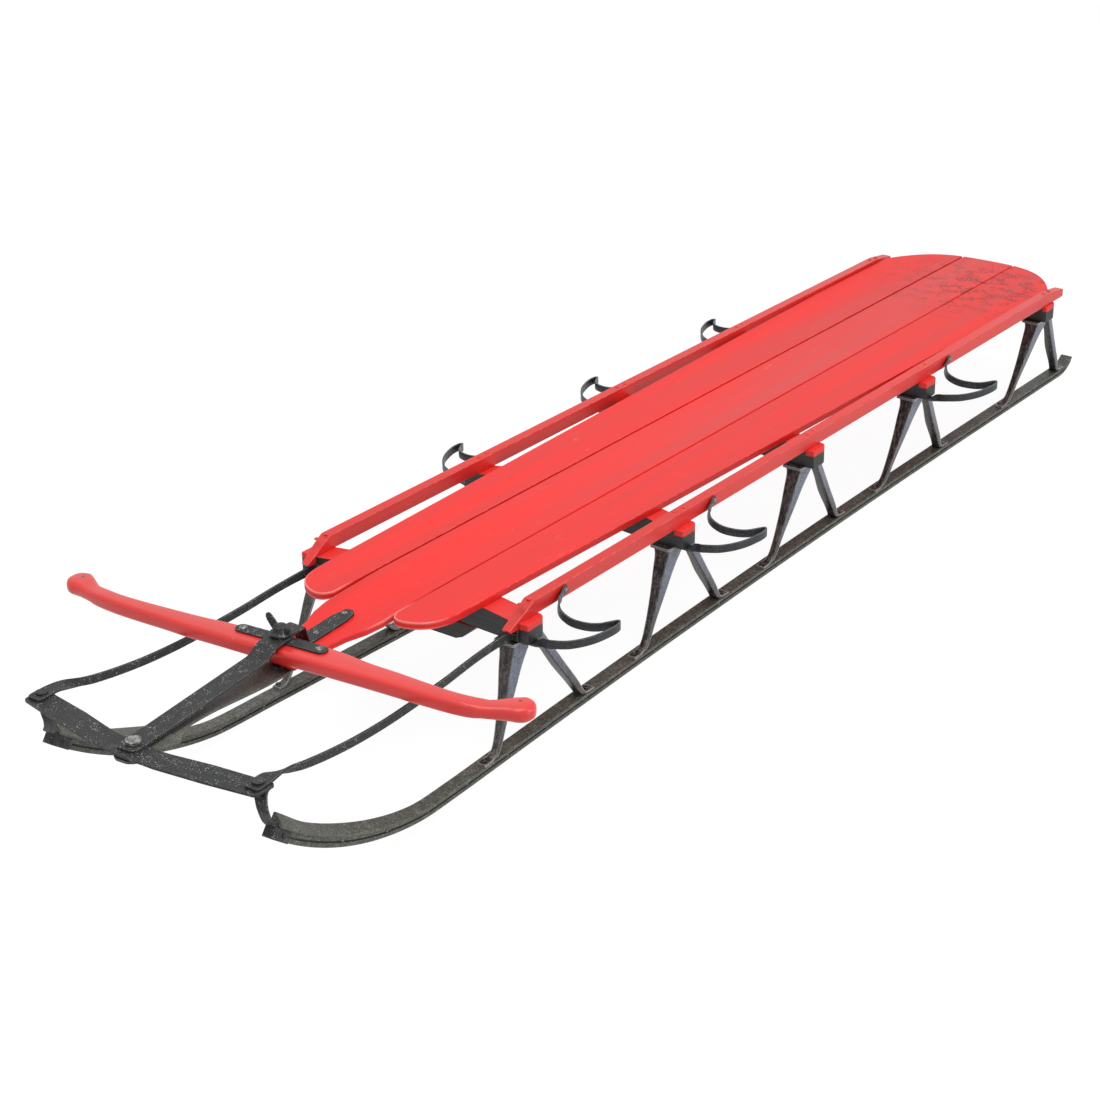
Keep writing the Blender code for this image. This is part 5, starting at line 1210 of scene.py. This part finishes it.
def slotted_head(shape, middle, radius, turn):
    """A flat screw head: two halves on either side of a slot, over a lower disc."""
    turned([(0.0, -0.0004), (radius, -0.0004), (radius, 0.0002), (0.0, 0.0002)], middle, 20, shape)
    half_slot = radius * 0.16
    for half in (1.0, -1.0):
        first = math.asin(half_slot / radius)
        rim = []
        for step in range(9):
            angle = first + (math.pi - 2 * first) * step / 8
            rim.append((radius * math.cos(angle), half * radius * math.sin(angle)))
        sections = []
        for height, share in ((0.0001, 1.0), (0.0008, 0.97), (0.0011, 0.84)):
            section = []
            for x, y in rim:
                flat = Vector((x * share, half * half_slot + (y - half * half_slot) * share, height))
                section.append(Vector(middle) + Matrix.Rotation(turn, 3, "Z") @ flat)
            sections.append(section)
        loft(sections, shape)


def add_rail(side_name, side):
    """A side rail, with its nose drawn down in front of the first bench and cut back on the outer side."""
    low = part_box(f"rail_{side_name}")[0].z
    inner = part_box(f"rail_{side_name}")[0 if side > 0 else 1].x
    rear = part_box(f"rail_{side_name}")[1].y - PIVOT_Y
    outline = [
        (0.2595, 0.2085), (0.2620, 0.2045), (0.2788, 0.2045), (0.2788, low), (rear, low), (rear, RAIL_TOP - 0.008),
        (rear - 0.060, RAIL_TOP), (0.3133, RAIL_TOP),
    ]
    sections = []
    for x in (inner, side * RAIL_OUTER_X):
        sections.append([(x, PIVOT_Y + y, z) for y, z in outline])
    shape = loft(sections)
    front = Vector((side * (RAIL_OUTER_X - 0.0045), PIVOT_Y + 0.2595, 0.0))
    back = Vector((side * RAIL_OUTER_X, PIVOT_Y + 0.300, 0.0))
    along = (back - front).normalized()
    out = Vector((side * along.y, -side * along.x, 0.0))
    cut_away(shape, front, out)
    add_piece(
        f"worn_rail_{side_name}", shape, ["rail_paint"], "sled", (f"rail_{side_name}",),
        rounding=sizes().board_round,
    )


def add_bench_cleat():
    """The deeper middle of the first bench, seen under the near lobe."""
    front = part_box("bench_1")[0].y + 0.0005
    outline = [(0.1245, BENCH_BOTTOM + 0.0005), (0.112, 0.172), (0.098, 0.160), (0.085, 0.1545)]
    outline += [(-x, z) for x, z in reversed(outline)]
    sections = [[(x, y, z) for x, z in outline] for y in (front, front + 0.040)]
    add_piece("bench_cleat", loft(sections), ["bench_paint"], "sled", rounding=0.0012)


# Rows along the steering bar: x, the middle's y and half the width
BAR = (
    (-0.3770, 0.0110, 0.0165), (-0.3620, 0.0048, 0.0150), (-0.3450, -0.0004, 0.0140), (-0.3000, -0.0078, 0.0140),
    (-0.2500, -0.0098, 0.0152), (-0.2000, -0.0100, 0.0165), (-0.1500, -0.0108, 0.0185), (-0.1000, -0.0088, 0.0205),
    (-0.0500, -0.0075, 0.0228), (0.0000, -0.0067, 0.0240), (0.0500, -0.0060, 0.0244), (0.0800, -0.0060, 0.0242),
    (0.1050, -0.0076, 0.0228), (0.1500, -0.0112, 0.0192), (0.2000, -0.0130, 0.0182), (0.2500, -0.0165, 0.0162),
    (0.3000, -0.0185, 0.0146), (0.3350, -0.0155, 0.0146), (0.3600, -0.0085, 0.0158), (0.3770, 0.0010, 0.0170),
)
# The middles of the bar's round knobs
KNOBS = ((-0.3875, 0.0180), (0.3875, 0.0105))
KNOB_RADIUS = 0.0232


def bar_edges(x):
    """The rear and the front edge of the steering bar at a place along it."""
    edges = []
    if BAR[0][0] <= x <= BAR[-1][0]:
        for before, after in zip(BAR, BAR[1:]):
            if before[0] <= x <= after[0]:
                share = (x - before[0]) / (after[0] - before[0])
                middle = before[1] + (after[1] - before[1]) * share
                half = before[2] + (after[2] - before[2]) * share
        edges.append((middle + half, middle - half))
    for knob_x, knob_y in KNOBS:
        if abs(x - knob_x) < KNOB_RADIUS:
            reach = math.sqrt(KNOB_RADIUS**2 - (x - knob_x) ** 2)
            edges.append((knob_y + reach, knob_y - reach))
    return max(edge[0] for edge in edges), min(edge[1] for edge in edges)


def add_steering_bar():
    """The painted wooden bar: broad in the middle, bowed forward, with a round knob at each end."""
    middle_z = (BAR_TOP + BAR_BOTTOM) / 2
    half_thick = (BAR_TOP - BAR_BOTTOM) / 2
    places = []
    for side, (knob_x, knob_y) in zip((-1.0, 1.0), KNOBS):
        for degrees in range(6, 90, 7):
            places.append(knob_x + side * KNOB_RADIUS * math.sin(math.radians(degrees)))
        places.append(knob_x + side * (KNOB_RADIUS - 0.00005))
    places += [-0.3875 + 0.775 * step / 78 for step in range(79)]
    places.sort()
    rows = []
    for x in places:
        rear, front = bar_edges(x)
        rows.append([x, (rear + front) / 2, (rear - front) / 2])
    for turn in range(3):
        smoother = [list(row) for row in rows]
        for index in range(1, len(rows) - 1):
            if abs(rows[index][0]) < 0.382:
                for column in (1, 2):
                    around = rows[index - 1][column] + rows[index + 1][column]
                    smoother[index][column] = (rows[index][column] * 2 + around) / 4
        rows = smoother
    sections = []
    for x, middle, half in rows:
        dip = 0.0016 * math.exp(-(((abs(x) - 0.352) / 0.018) ** 2))
        end = min((0.412 - abs(x)) / 0.012, 1.0)
        thick = (half_thick - dip) * math.sqrt(1 - (1 - max(end, 0.02)) ** 2 * 0.85)
        radius = min(half, thick) * (0.62 if abs(x) < 0.34 else 0.85)
        section = []
        for corner_y, corner_z, first in ((1, 1, 0.0), (-1, 1, 90.0), (-1, -1, 180.0), (1, -1, 270.0)):
            for step in range(6):
                angle = math.radians(first + 18.0 * step)
                y = corner_y * (half - radius) + radius * math.cos(angle)
                z = corner_z * (thick - radius) + radius * math.sin(angle)
                section.append((x, middle + y, middle_z + z))
        sections.append(section)
    place = body_place("steering")
    add_piece("worn_steering_bar", loft(sections), ["bar_paint"], "steering", ("steering_bar",), place=place)
    # Dark dished discs on the knobs stand for their holes: painted shade for the dark inside a hole.
    shade_discs = bmesh.new()
    for x, y in KNOBS:
        profile = [(0.0, -0.0005), (0.0024, -0.0005), (0.0028, 0.0003), (0.0020, 0.0005), (0.0, -0.0002)]
        turned(profile, (x, y + 0.004, BAR_TOP - 0.0003), 16, shade_discs)
    add_piece("bar_end_holes", shade_discs, ["strap_iron"], "steering", place=place)


# Steering irons


def side_strap(path, widths):
    """A strap that lies across the sled and bends only in the side view."""
    return strap([(0.0, y, z, 1.0, 0.0, 0.0, width, IRON_THICK) for (y, z), width in zip(path, widths)])


def add_lever():
    """The cross strap on the bar and the lever's two straps down to the bumper's pin."""
    place = body_place("steering")
    iron = sizes().iron_round
    add_flat("steering_cross_strap", "strap_iron", "steering", iron)
    rivets = bmesh.new()
    for x in (0.067, -0.067):
        turned(dome(0.0062, 0.0028), (x, 0.0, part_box("steering_cross_strap")[1].z), 18, rivets)
    lever_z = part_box("lever_top_strap")[1].z - 0.002
    low_z = BUMPER_TOP + GAP + 0.002
    corners = (
        (0.018, lever_z, 0.0),
        (0.0, lever_z, 0.0),
        (-0.032, lever_z, 0.012),
        (-0.056, low_z + 0.004, 0.020),
        (-0.267, low_z, 0.05),
        (-0.329, low_z, 0.0),
        (-0.335, low_z, 0.0),
    )
    path = bent_path(corners)
    widths = [0.026] + [0.034] * (len(path) - 2) + [0.024]
    add_piece(
        "lever_strap_upper", side_strap(path, widths), ["strap_iron"], "steering", ("lever_top_strap",),
        rounding=iron, place=place,
    )
    lower_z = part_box("lever_bottom_strap")[0].z + 0.002
    front_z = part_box("bumper_gusset")[0].z - GAP - 0.002
    rows = []
    for step in range(7):
        angle = math.radians(15.0 + 75.0 * step / 6)
        rows.append((0.022 * math.cos(angle), lower_z, 0.044 * math.sin(angle)))
    for step in range(15):
        share = step / 14
        y = -0.02 - 0.2043 * share
        rows.append((y, lower_z + (front_z - lower_z) * smooth_step(share), 0.044 - 0.0108 * share))
    degrees = 142.0
    while degrees > 8.0:
        angle = math.radians(degrees)
        rows.append((-0.317 - 0.027 * math.cos(angle), front_z, 0.054 * math.sin(angle)))
        degrees -= 9.0
    rows.sort(key=lambda row: -row[0])
    path = [(y, z) for y, z, width in rows]
    widths = [width for y, z, width in rows]
    # Its pale iron is partly painted light, lighter than the shade under the upper strap would show.
    add_piece(
        "lever_strap_lower", side_strap(path, widths), ["pale_iron"], "steering", ("lever_bottom_strap",),
        rounding=iron, place=place,
    )
    add_piece("lever_rivets", rivets, ["bright_steel"], "steering", place=place)


def tongue_top(y):
    """The height of the drooping tongue's top."""
    return DECK_TOP - 0.012 * min(max(0.275 - y, 0.0) / 0.229, 1.0) ** 1.2


def iron_section(left, right, y, z):
    """The section of the iron over the tongue, at a place counted from the pivot."""
    corners = ((left, -0.002), (left, 0.002), (right, 0.002), (right, -0.002))
    return [(x, PIVOT_Y + y, z + lift) for x, lift in corners]


def add_pivot():
    """The irons above and below the tongue, the pivot bolt and the cast wing nut."""
    iron = sizes().iron_round
    add_flat("tongue_bottom_iron", "strap_iron", "sled", iron)
    over_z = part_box("tongue_top_iron")[1].z - 0.002
    corners = [(-0.013, over_z, 0.0), (0.0, over_z, 0.0), (0.0365, over_z, 0.006)]
    corners.append((0.0440, tongue_top(0.040) + GAP + 0.002, 0.006))
    corners += [(y, tongue_top(y) + GAP + 0.002, 0.0) for y in (0.060, 0.090, 0.120, 0.143)]
    sections = []
    path = bent_path(corners, 5)
    for index, (y, z) in enumerate(path):
        left, right = 0.0135, -0.0145
        if index == 0:
            left, right = 0.009, -0.009
        elif index == len(path) - 1:
            left, right = 0.0095, -0.0100
        sections.append(iron_section(left, right, y, z))
    sections.append(iron_section(0.0030, -0.0085, 0.1485, tongue_top(0.148) + GAP + 0.002))
    add_piece("strap_over_tongue", loft(sections), ["strap_iron"], "sled", ("tongue_top_iron",), rounding=iron)
    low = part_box("wing_nut")[0].z
    middle = (0.0, PIVOT_Y, low)
    nut = bmesh.new()
    profile = [
        (0.0, 0.0), (0.0160, 0.0), (0.0166, 0.0008), (0.0162, 0.0022), (0.0128, 0.0036), (0.0112, 0.0055),
        (0.0106, 0.0090), (0.0098, 0.0118), (0.0084, 0.0128), (0.0, 0.0128),
    ]
    turned(profile, middle, 28, nut)
    # Rows of an ear: distance out, height, thickness and width
    tall_ear = [
        (0.0070, 0.0060, 0.0070, 0.0085), (0.0110, 0.0095, 0.0066, 0.0100), (0.0155, 0.0145, 0.0058, 0.0105),
        (0.0200, 0.0200, 0.0050, 0.0098), (0.0222, 0.0240, 0.0042, 0.0070), (0.0230, 0.0258, 0.0022, 0.0030),
    ]
    short_ear = [
        (0.0060, 0.0050, 0.0075, 0.0080), (0.0105, 0.0068, 0.0080, 0.0090), (0.0140, 0.0090, 0.0074, 0.0085),
        (0.0165, 0.0112, 0.0050, 0.0055), (0.0172, 0.0122, 0.0020, 0.0024),
    ]
    for ear, direction in ((tall_ear, -1.0), (short_ear, 1.0)):
        ear = smooth_rows(ear, 4)
        sections = []
        for index, (out, up, thick, wide) in enumerate(ear):
            before = ear[max(index - 1, 0)]
            after = ear[min(index + 1, len(ear) - 1)]
            run = Vector((after[0] - before[0], after[1] - before[1])).normalized()
            normal = Vector((-run.y, run.x))
            section = []
            for step in range(16):
                angle = 2 * math.pi * step / 16
                aside = wide * 0.70 * math.cos(angle)
                deep = thick * 0.62 * math.sin(angle)
                section.append(
                    (
                        direction * (out + normal.x * aside),
                        PIVOT_Y + deep,
                        low + up + normal.y * aside,
                    )
                )
            sections.append(section)
        loft(sections, nut)
    add_piece("cast_wing_nut", nut, ["strap_iron"], "sled", ("wing_nut",))
    bolt = frame_shape("pivot_bolt")
    add_piece("worn_pivot_bolt", bolt, ["bright_steel"], "sled", ("pivot_bolt",), rounding=0.0004)
    screws = bmesh.new()
    for x, y in ((0.001, 0.070), (-0.003, 0.136)):
        slotted_head(screws, (x, PIVOT_Y + y, tongue_top(y) + GAP + 0.0037), 0.0042, 0.6 + y * 10)
    add_piece("tongue_screws", screws, ["bright_steel"], "sled")


def add_toe(side_name, side):
    """The sleeve round a runner's tip and the S-shaped strap from it to the bumper's end."""
    body = f"{side_name}_runner_front"
    sections = []
    tip = TIPS[side_name]
    for y, grow in ((tip - 0.0035, -0.0015), (tip - 0.0020, 0.0), (tip + 0.0255, 0.0), (tip + 0.0270, -0.0010)):
        wide, low, high = 0.0095 + grow, -0.0008 - grow, 0.0165 + grow
        corners = ((-wide, low), (wide, low), (wide, high), (-wide, high + (0.006 if side > 0 else -0.001)))
        sections.append([runner_point(side, y, side * across, height) for across, height in corners])
    add_piece(
        f"toe_sleeve_{side_name}", loft(sections), ["strap_iron"], body, (f"toe_block_{side_name}",),
        rounding=0.0006,
    )
    rivets = bmesh.new()
    middle = runner_point(side, tip + 0.014, side * 0.0094, 0.0085)
    turned(dome(0.0036, 0.0018), middle, 16, rivets, (1.0, 0.0, 0.0))
    add_piece(f"toe_rivet_{side_name}", rivets, ["strap_iron"], body)

    rivet_y = -0.295 - SPLIT_Y
    tab_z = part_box(f"toe_strap_{side_name}")[1].z - 0.002
    bulge = (0.0, 0.003, 0.008, 0.0125, 0.0140, 0.0120, 0.0100, 0.0096)
    if side < 0:
        bulge = (0.0, 0.004, 0.010, 0.0165, 0.0175, 0.0100, 0.0000, -0.0060)
    drop = (
        (0.012, tab_z), (0.002, tab_z), (-0.006, tab_z - 0.003), (-0.0105, tab_z - 0.014), (-0.0095, 0.200),
        (-0.003, 0.186), (0.004, 0.1765), (0.010, 0.170),
    )
    rows = []
    for x, (y, z) in zip(bulge, drop):
        share = smooth_step((tab_z - z) / 0.04)
        rows.append((x, rivet_y + y, z, 1.0, 0.15 * share, 0.0, 0.0185 - 0.003 * share, 0.0032))
    rows = smooth_rows(rows, 5)
    add_piece(
        f"toe_hanger_{side_name}", strap(rows), ["strap_iron"], body, (f"toe_strap_{side_name}",),
        rounding=0.0006, place=body_place(body),
    )


def add_bumper():
    """The chevron bumper with its gusset, pin and rivets, and the runners' toes."""
    iron = sizes().iron_round
    add_flat("bumper", "strap_iron", "bumper_bar", iron)
    gusset = frame_shape("bumper_gusset")
    edge = Vector(JOINTS["bumper_pin"]["pos_m"]) + Vector((0.022, 0.0, 0.0))
    cut_away(gusset, edge, Vector((1.0, -0.3, 0.0)))
    add_piece("worn_bumper_gusset", gusset, ["pale_iron"], "bumper_bar", ("bumper_gusset",), rounding=iron)
    add_flat("pin_bolt", "bright_steel", "bumper_bar", 0.0012)
    for side_name, side in SIDES:
        add_flat(f"bumper_rivet_{side_name}", "strap_iron", "bumper_bar", 0.0010)
        add_toe(side_name, side)


def add_rail_screws():
    """Painted-over screws in the rails above each bench."""
    screws = bmesh.new()
    radius = sizes().screw_radius
    for number, station in enumerate(STATIONS):
        middle = station - 0.010
        for side in dict(SIDES).values():
            for offset in (-0.010, 0.012):
                place = (side * (RAIL_OUTER_X - 0.0094), PIVOT_Y + middle + offset, RAIL_TOP)
                slotted_head(screws, place, radius, 0.7 * number + offset * 90 + side)
    add_piece("rail_screws", screws, ["rail_paint"], "sled")


# Stage


def add_stage():
    settings = bpy.context.scene.sled_stage
    scene = bpy.context.scene
    scene.view_settings.view_transform = "Standard"

    camera_data = bpy.data.cameras.new("camera")
    camera_data.lens = settings.lens
    camera_data.sensor_width = 36.0
    camera_data.clip_start = 0.05
    camera_data.clip_end = 60.0
    camera = bpy.data.objects.new("camera", camera_data)
    scene.collection.objects.link(camera)
    turn = Matrix((CAMERA_RIGHT, CAMERA_UP, CAMERA_RIGHT.cross(CAMERA_UP))).transposed().to_4x4()
    camera.matrix_world = Matrix.Translation(CAMERA_PLACE) @ turn
    scene.camera = camera

    floor_mesh = bpy.data.meshes.new("floor")
    reach = 14.0
    corners = [(-reach, -reach, 0.0), (reach, -reach, 0.0), (reach, reach, 0.0), (-reach, reach, 0.0)]
    floor_mesh.from_pydata(corners, [], [(0, 1, 2, 3)])
    floor = bpy.data.objects.new("floor", floor_mesh)
    scene.collection.objects.link(floor)
    floor.location.z = -0.0005
    material = bpy.data.materials.new("pale_floor")
    material.use_nodes = True
    tree = material.node_tree
    tree.nodes.remove(tree.nodes["Principled BSDF"])
    matt = shader_node(tree, "ShaderNodeBsdfDiffuse", {"Color": (0.60, 0.60, 0.60, 1.0)}).outputs[0]
    glow = shader_node(tree, "ShaderNodeEmission", {"Strength": 0.94}).outputs[0]
    dim = shader_node(tree, "ShaderNodeBsdfDiffuse", {"Color": (0.10, 0.10, 0.10, 1.0)}).outputs[0]
    white = shader_node(tree, "ShaderNodeAddShader", {0: glow, 1: dim}).outputs[0]
    mixed = shader_node(tree, "ShaderNodeMixShader", {0: background_rays(tree), 1: matt, 2: white}).outputs[0]
    tree.links.new(mixed, tree.nodes["Material Output"].inputs["Surface"])
    floor_mesh.materials.append(material)

    world = bpy.data.worlds.new("studio")
    scene.world = world
    world.use_nodes = True
    tree = world.node_tree
    strength = spread(tree, background_rays(tree), 0.0, 1.0, settings.fill, 1.0)
    tree.links.new(strength, tree.nodes["Background"].inputs["Strength"])
    tree.nodes["Background"].inputs["Color"].default_value = (1.0, 1.0, 1.0, 1.0)

    for name, place, target, size, power in (
        ("top lamp", (0.6, -1.2, 4.2), (0.0, 0.0, 0.2), 3.6, settings.top_power),
        ("side lamp", (4.2, 0.6, 1.5), (0.0, 0.0, 0.2), 2.6, settings.side_power),
    ):
        lamp_data = bpy.data.lights.new(name, "AREA")
        lamp_data.shape = "SQUARE"
        lamp_data.size = size
        lamp_data.energy = power
        lamp = bpy.data.objects.new(name, lamp_data)
        scene.collection.objects.link(lamp)
        lamp.location = place
        lamp.rotation_mode = "QUATERNION"
        lamp.rotation_quaternion = (Vector(target) - Vector(place)).to_track_quat("-Z", "Y")


class SLED_OT_deck(bpy.types.Operator):
    """Dress the three boards of the deck"""

    bl_idname = "sled.deck"
    bl_label = "Deck boards"

    def execute(self, context):
        middle = frame_shape("deck_board_middle")
        cut_away(middle, Vector((0.0, PIVOT_Y - TONGUE_FRONT, 0.0)), Vector((0.0, -1.0, 0.0)))
        add_piece(
            "worn_deck_board_middle", middle, ["deck_paint"], "sled", ("deck_board_middle",),
            rounding=sizes().board_round,
        )
        for side_name, side in SIDES:
            add_outer_board(side_name, side)
        return {"FINISHED"}


class SLED_OT_rails(bpy.types.Operator):
    """Dress the side rails and put the screws in them"""

    bl_idname = "sled.rails"
    bl_label = "Rails"

    def execute(self, context):
        for side_name, side in SIDES:
            add_rail(side_name, side)
        add_rail_screws()
        return {"FINISHED"}


class SLED_OT_benches(bpy.types.Operator):
    """Dress the five benches in black with red end tops"""

    bl_idname = "sled.benches"
    bl_label = "Benches"

    def execute(self, context):
        for number in range(1, len(STATIONS) + 1):
            add_flat(f"bench_{number}", "bench_paint", "sled", 0.0012)
        add_bench_cleat()
        return {"FINISHED"}


class SLED_OT_knees(bpy.types.Operator):
    """Build the ten pressed knees with their rivets"""

    bl_idname = "sled.knees"
    bl_label = "Knees"

    def execute(self, context):
        for side_name, side in SIDES:
            for number in range(1, len(STATIONS) + 1):
                add_knee(number, side_name, side)
        return {"FINISHED"}


class SLED_OT_foot_rests(bpy.types.Operator):
    """Build the six hooped foot rests"""

    bl_idname = "sled.foot_rests"
    bl_label = "Foot rests"

    def execute(self, context):
        for node in sorted(frame["nodes"]):
            if node.startswith("foot_rest_"):
                side_name, number = node.split("_")[2:]
                add_foot_rest(int(number), side_name, dict(SIDES)[side_name])
        return {"FINISHED"}


class SLED_OT_runners(bpy.types.Operator):
    """Build both runners in one length each, bent to the steering's turn at rest"""

    bl_idname = "sled.runners"
    bl_label = "Runners"

    def execute(self, context):
        for side_name, side in SIDES:
            add_runner(side_name, side)
        return {"FINISHED"}


class SLED_OT_struts(bpy.types.Operator):
    """Build the two side struts, bent to the steering's turn at rest"""

    bl_idname = "sled.struts"
    bl_label = "Side struts"

    def execute(self, context):
        for side_name, side in SIDES:
            add_strut(side_name, side)
        return {"FINISHED"}


class SLED_OT_steering_bar(bpy.types.Operator):
    """Build the wooden steering bar"""

    bl_idname = "sled.steering_bar"
    bl_label = "Steering bar"

    def execute(self, context):
        add_steering_bar()
        return {"FINISHED"}


class SLED_OT_lever(bpy.types.Operator):
    """Build the cross strap and the lever"""

    bl_idname = "sled.lever"
    bl_label = "Lever"

    def execute(self, context):
        add_lever()
        return {"FINISHED"}


class SLED_OT_pivot(bpy.types.Operator):
    """Build the pivot's irons, bolt and wing nut"""

    bl_idname = "sled.pivot"
    bl_label = "Pivot"

    def execute(self, context):
        add_pivot()
        return {"FINISHED"}


class SLED_OT_bumper(bpy.types.Operator):
    """Dress the bumper, its pin and rivets, and the runners' toes"""

    bl_idname = "sled.bumper"
    bl_label = "Bumper and toes"

    def execute(self, context):
        add_bumper()
        return {"FINISHED"}


class SLED_OT_stage(bpy.types.Operator):
    """Set the camera, the lamps and the pale floor"""

    bl_idname = "sled.stage"
    bl_label = "Stage"

    def execute(self, context):
        add_stage()
        return {"FINISHED"}


OPERATORS = (
    SLED_OT_stage,
    SLED_OT_deck,
    SLED_OT_rails,
    SLED_OT_benches,
    SLED_OT_knees,
    SLED_OT_foot_rests,
    SLED_OT_runners,
    SLED_OT_struts,
    SLED_OT_steering_bar,
    SLED_OT_lever,
    SLED_OT_pivot,
    SLED_OT_bumper,
)


class SLED_PT_pieces(bpy.types.Panel):
    """Sidebar panel with one button for each group of pieces"""

    bl_idname = "SLED_PT_pieces"
    bl_label = "Sled"
    bl_space_type = "VIEW_3D"
    bl_region_type = "UI"
    bl_category = "Sled"

    def draw(self, context):
        layout = self.layout
        for group in (context.scene.sled_paint, context.scene.sled_sizes, context.scene.sled_stage):
            column = layout.column()
            for name in group.bl_rna.properties.keys():
                if name not in ("rna_type", "name"):
                    column.prop(group, name)
        for operator in OPERATORS:
            layout.operator(operator.bl_idname)


CLASSES = (SledPaint, SledSizes, SledStage, *OPERATORS, SLED_PT_pieces)


def register():
    for item in CLASSES:
        bpy.utils.register_class(item)
    bpy.types.Scene.sled_paint = PointerProperty(type=SledPaint)
    bpy.types.Scene.sled_sizes = PointerProperty(type=SledSizes)
    bpy.types.Scene.sled_stage = PointerProperty(type=SledStage)


def unregister():
    del bpy.types.Scene.sled_paint
    del bpy.types.Scene.sled_sizes
    del bpy.types.Scene.sled_stage
    for item in reversed(CLASSES):
        bpy.utils.unregister_class(item)


def main():
    """Dress the sled piece by piece."""
    register()
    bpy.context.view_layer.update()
    bpy.ops.sled.stage()
    bpy.ops.sled.deck()
    bpy.ops.sled.rails()
    bpy.ops.sled.benches()
    bpy.ops.sled.knees()
    bpy.ops.sled.foot_rests()
    bpy.ops.sled.runners()
    bpy.ops.sled.struts()
    bpy.ops.sled.steering_bar()
    bpy.ops.sled.lever()
    bpy.ops.sled.pivot()
    bpy.ops.sled.bumper()


if __name__ == "__main__":
    main()
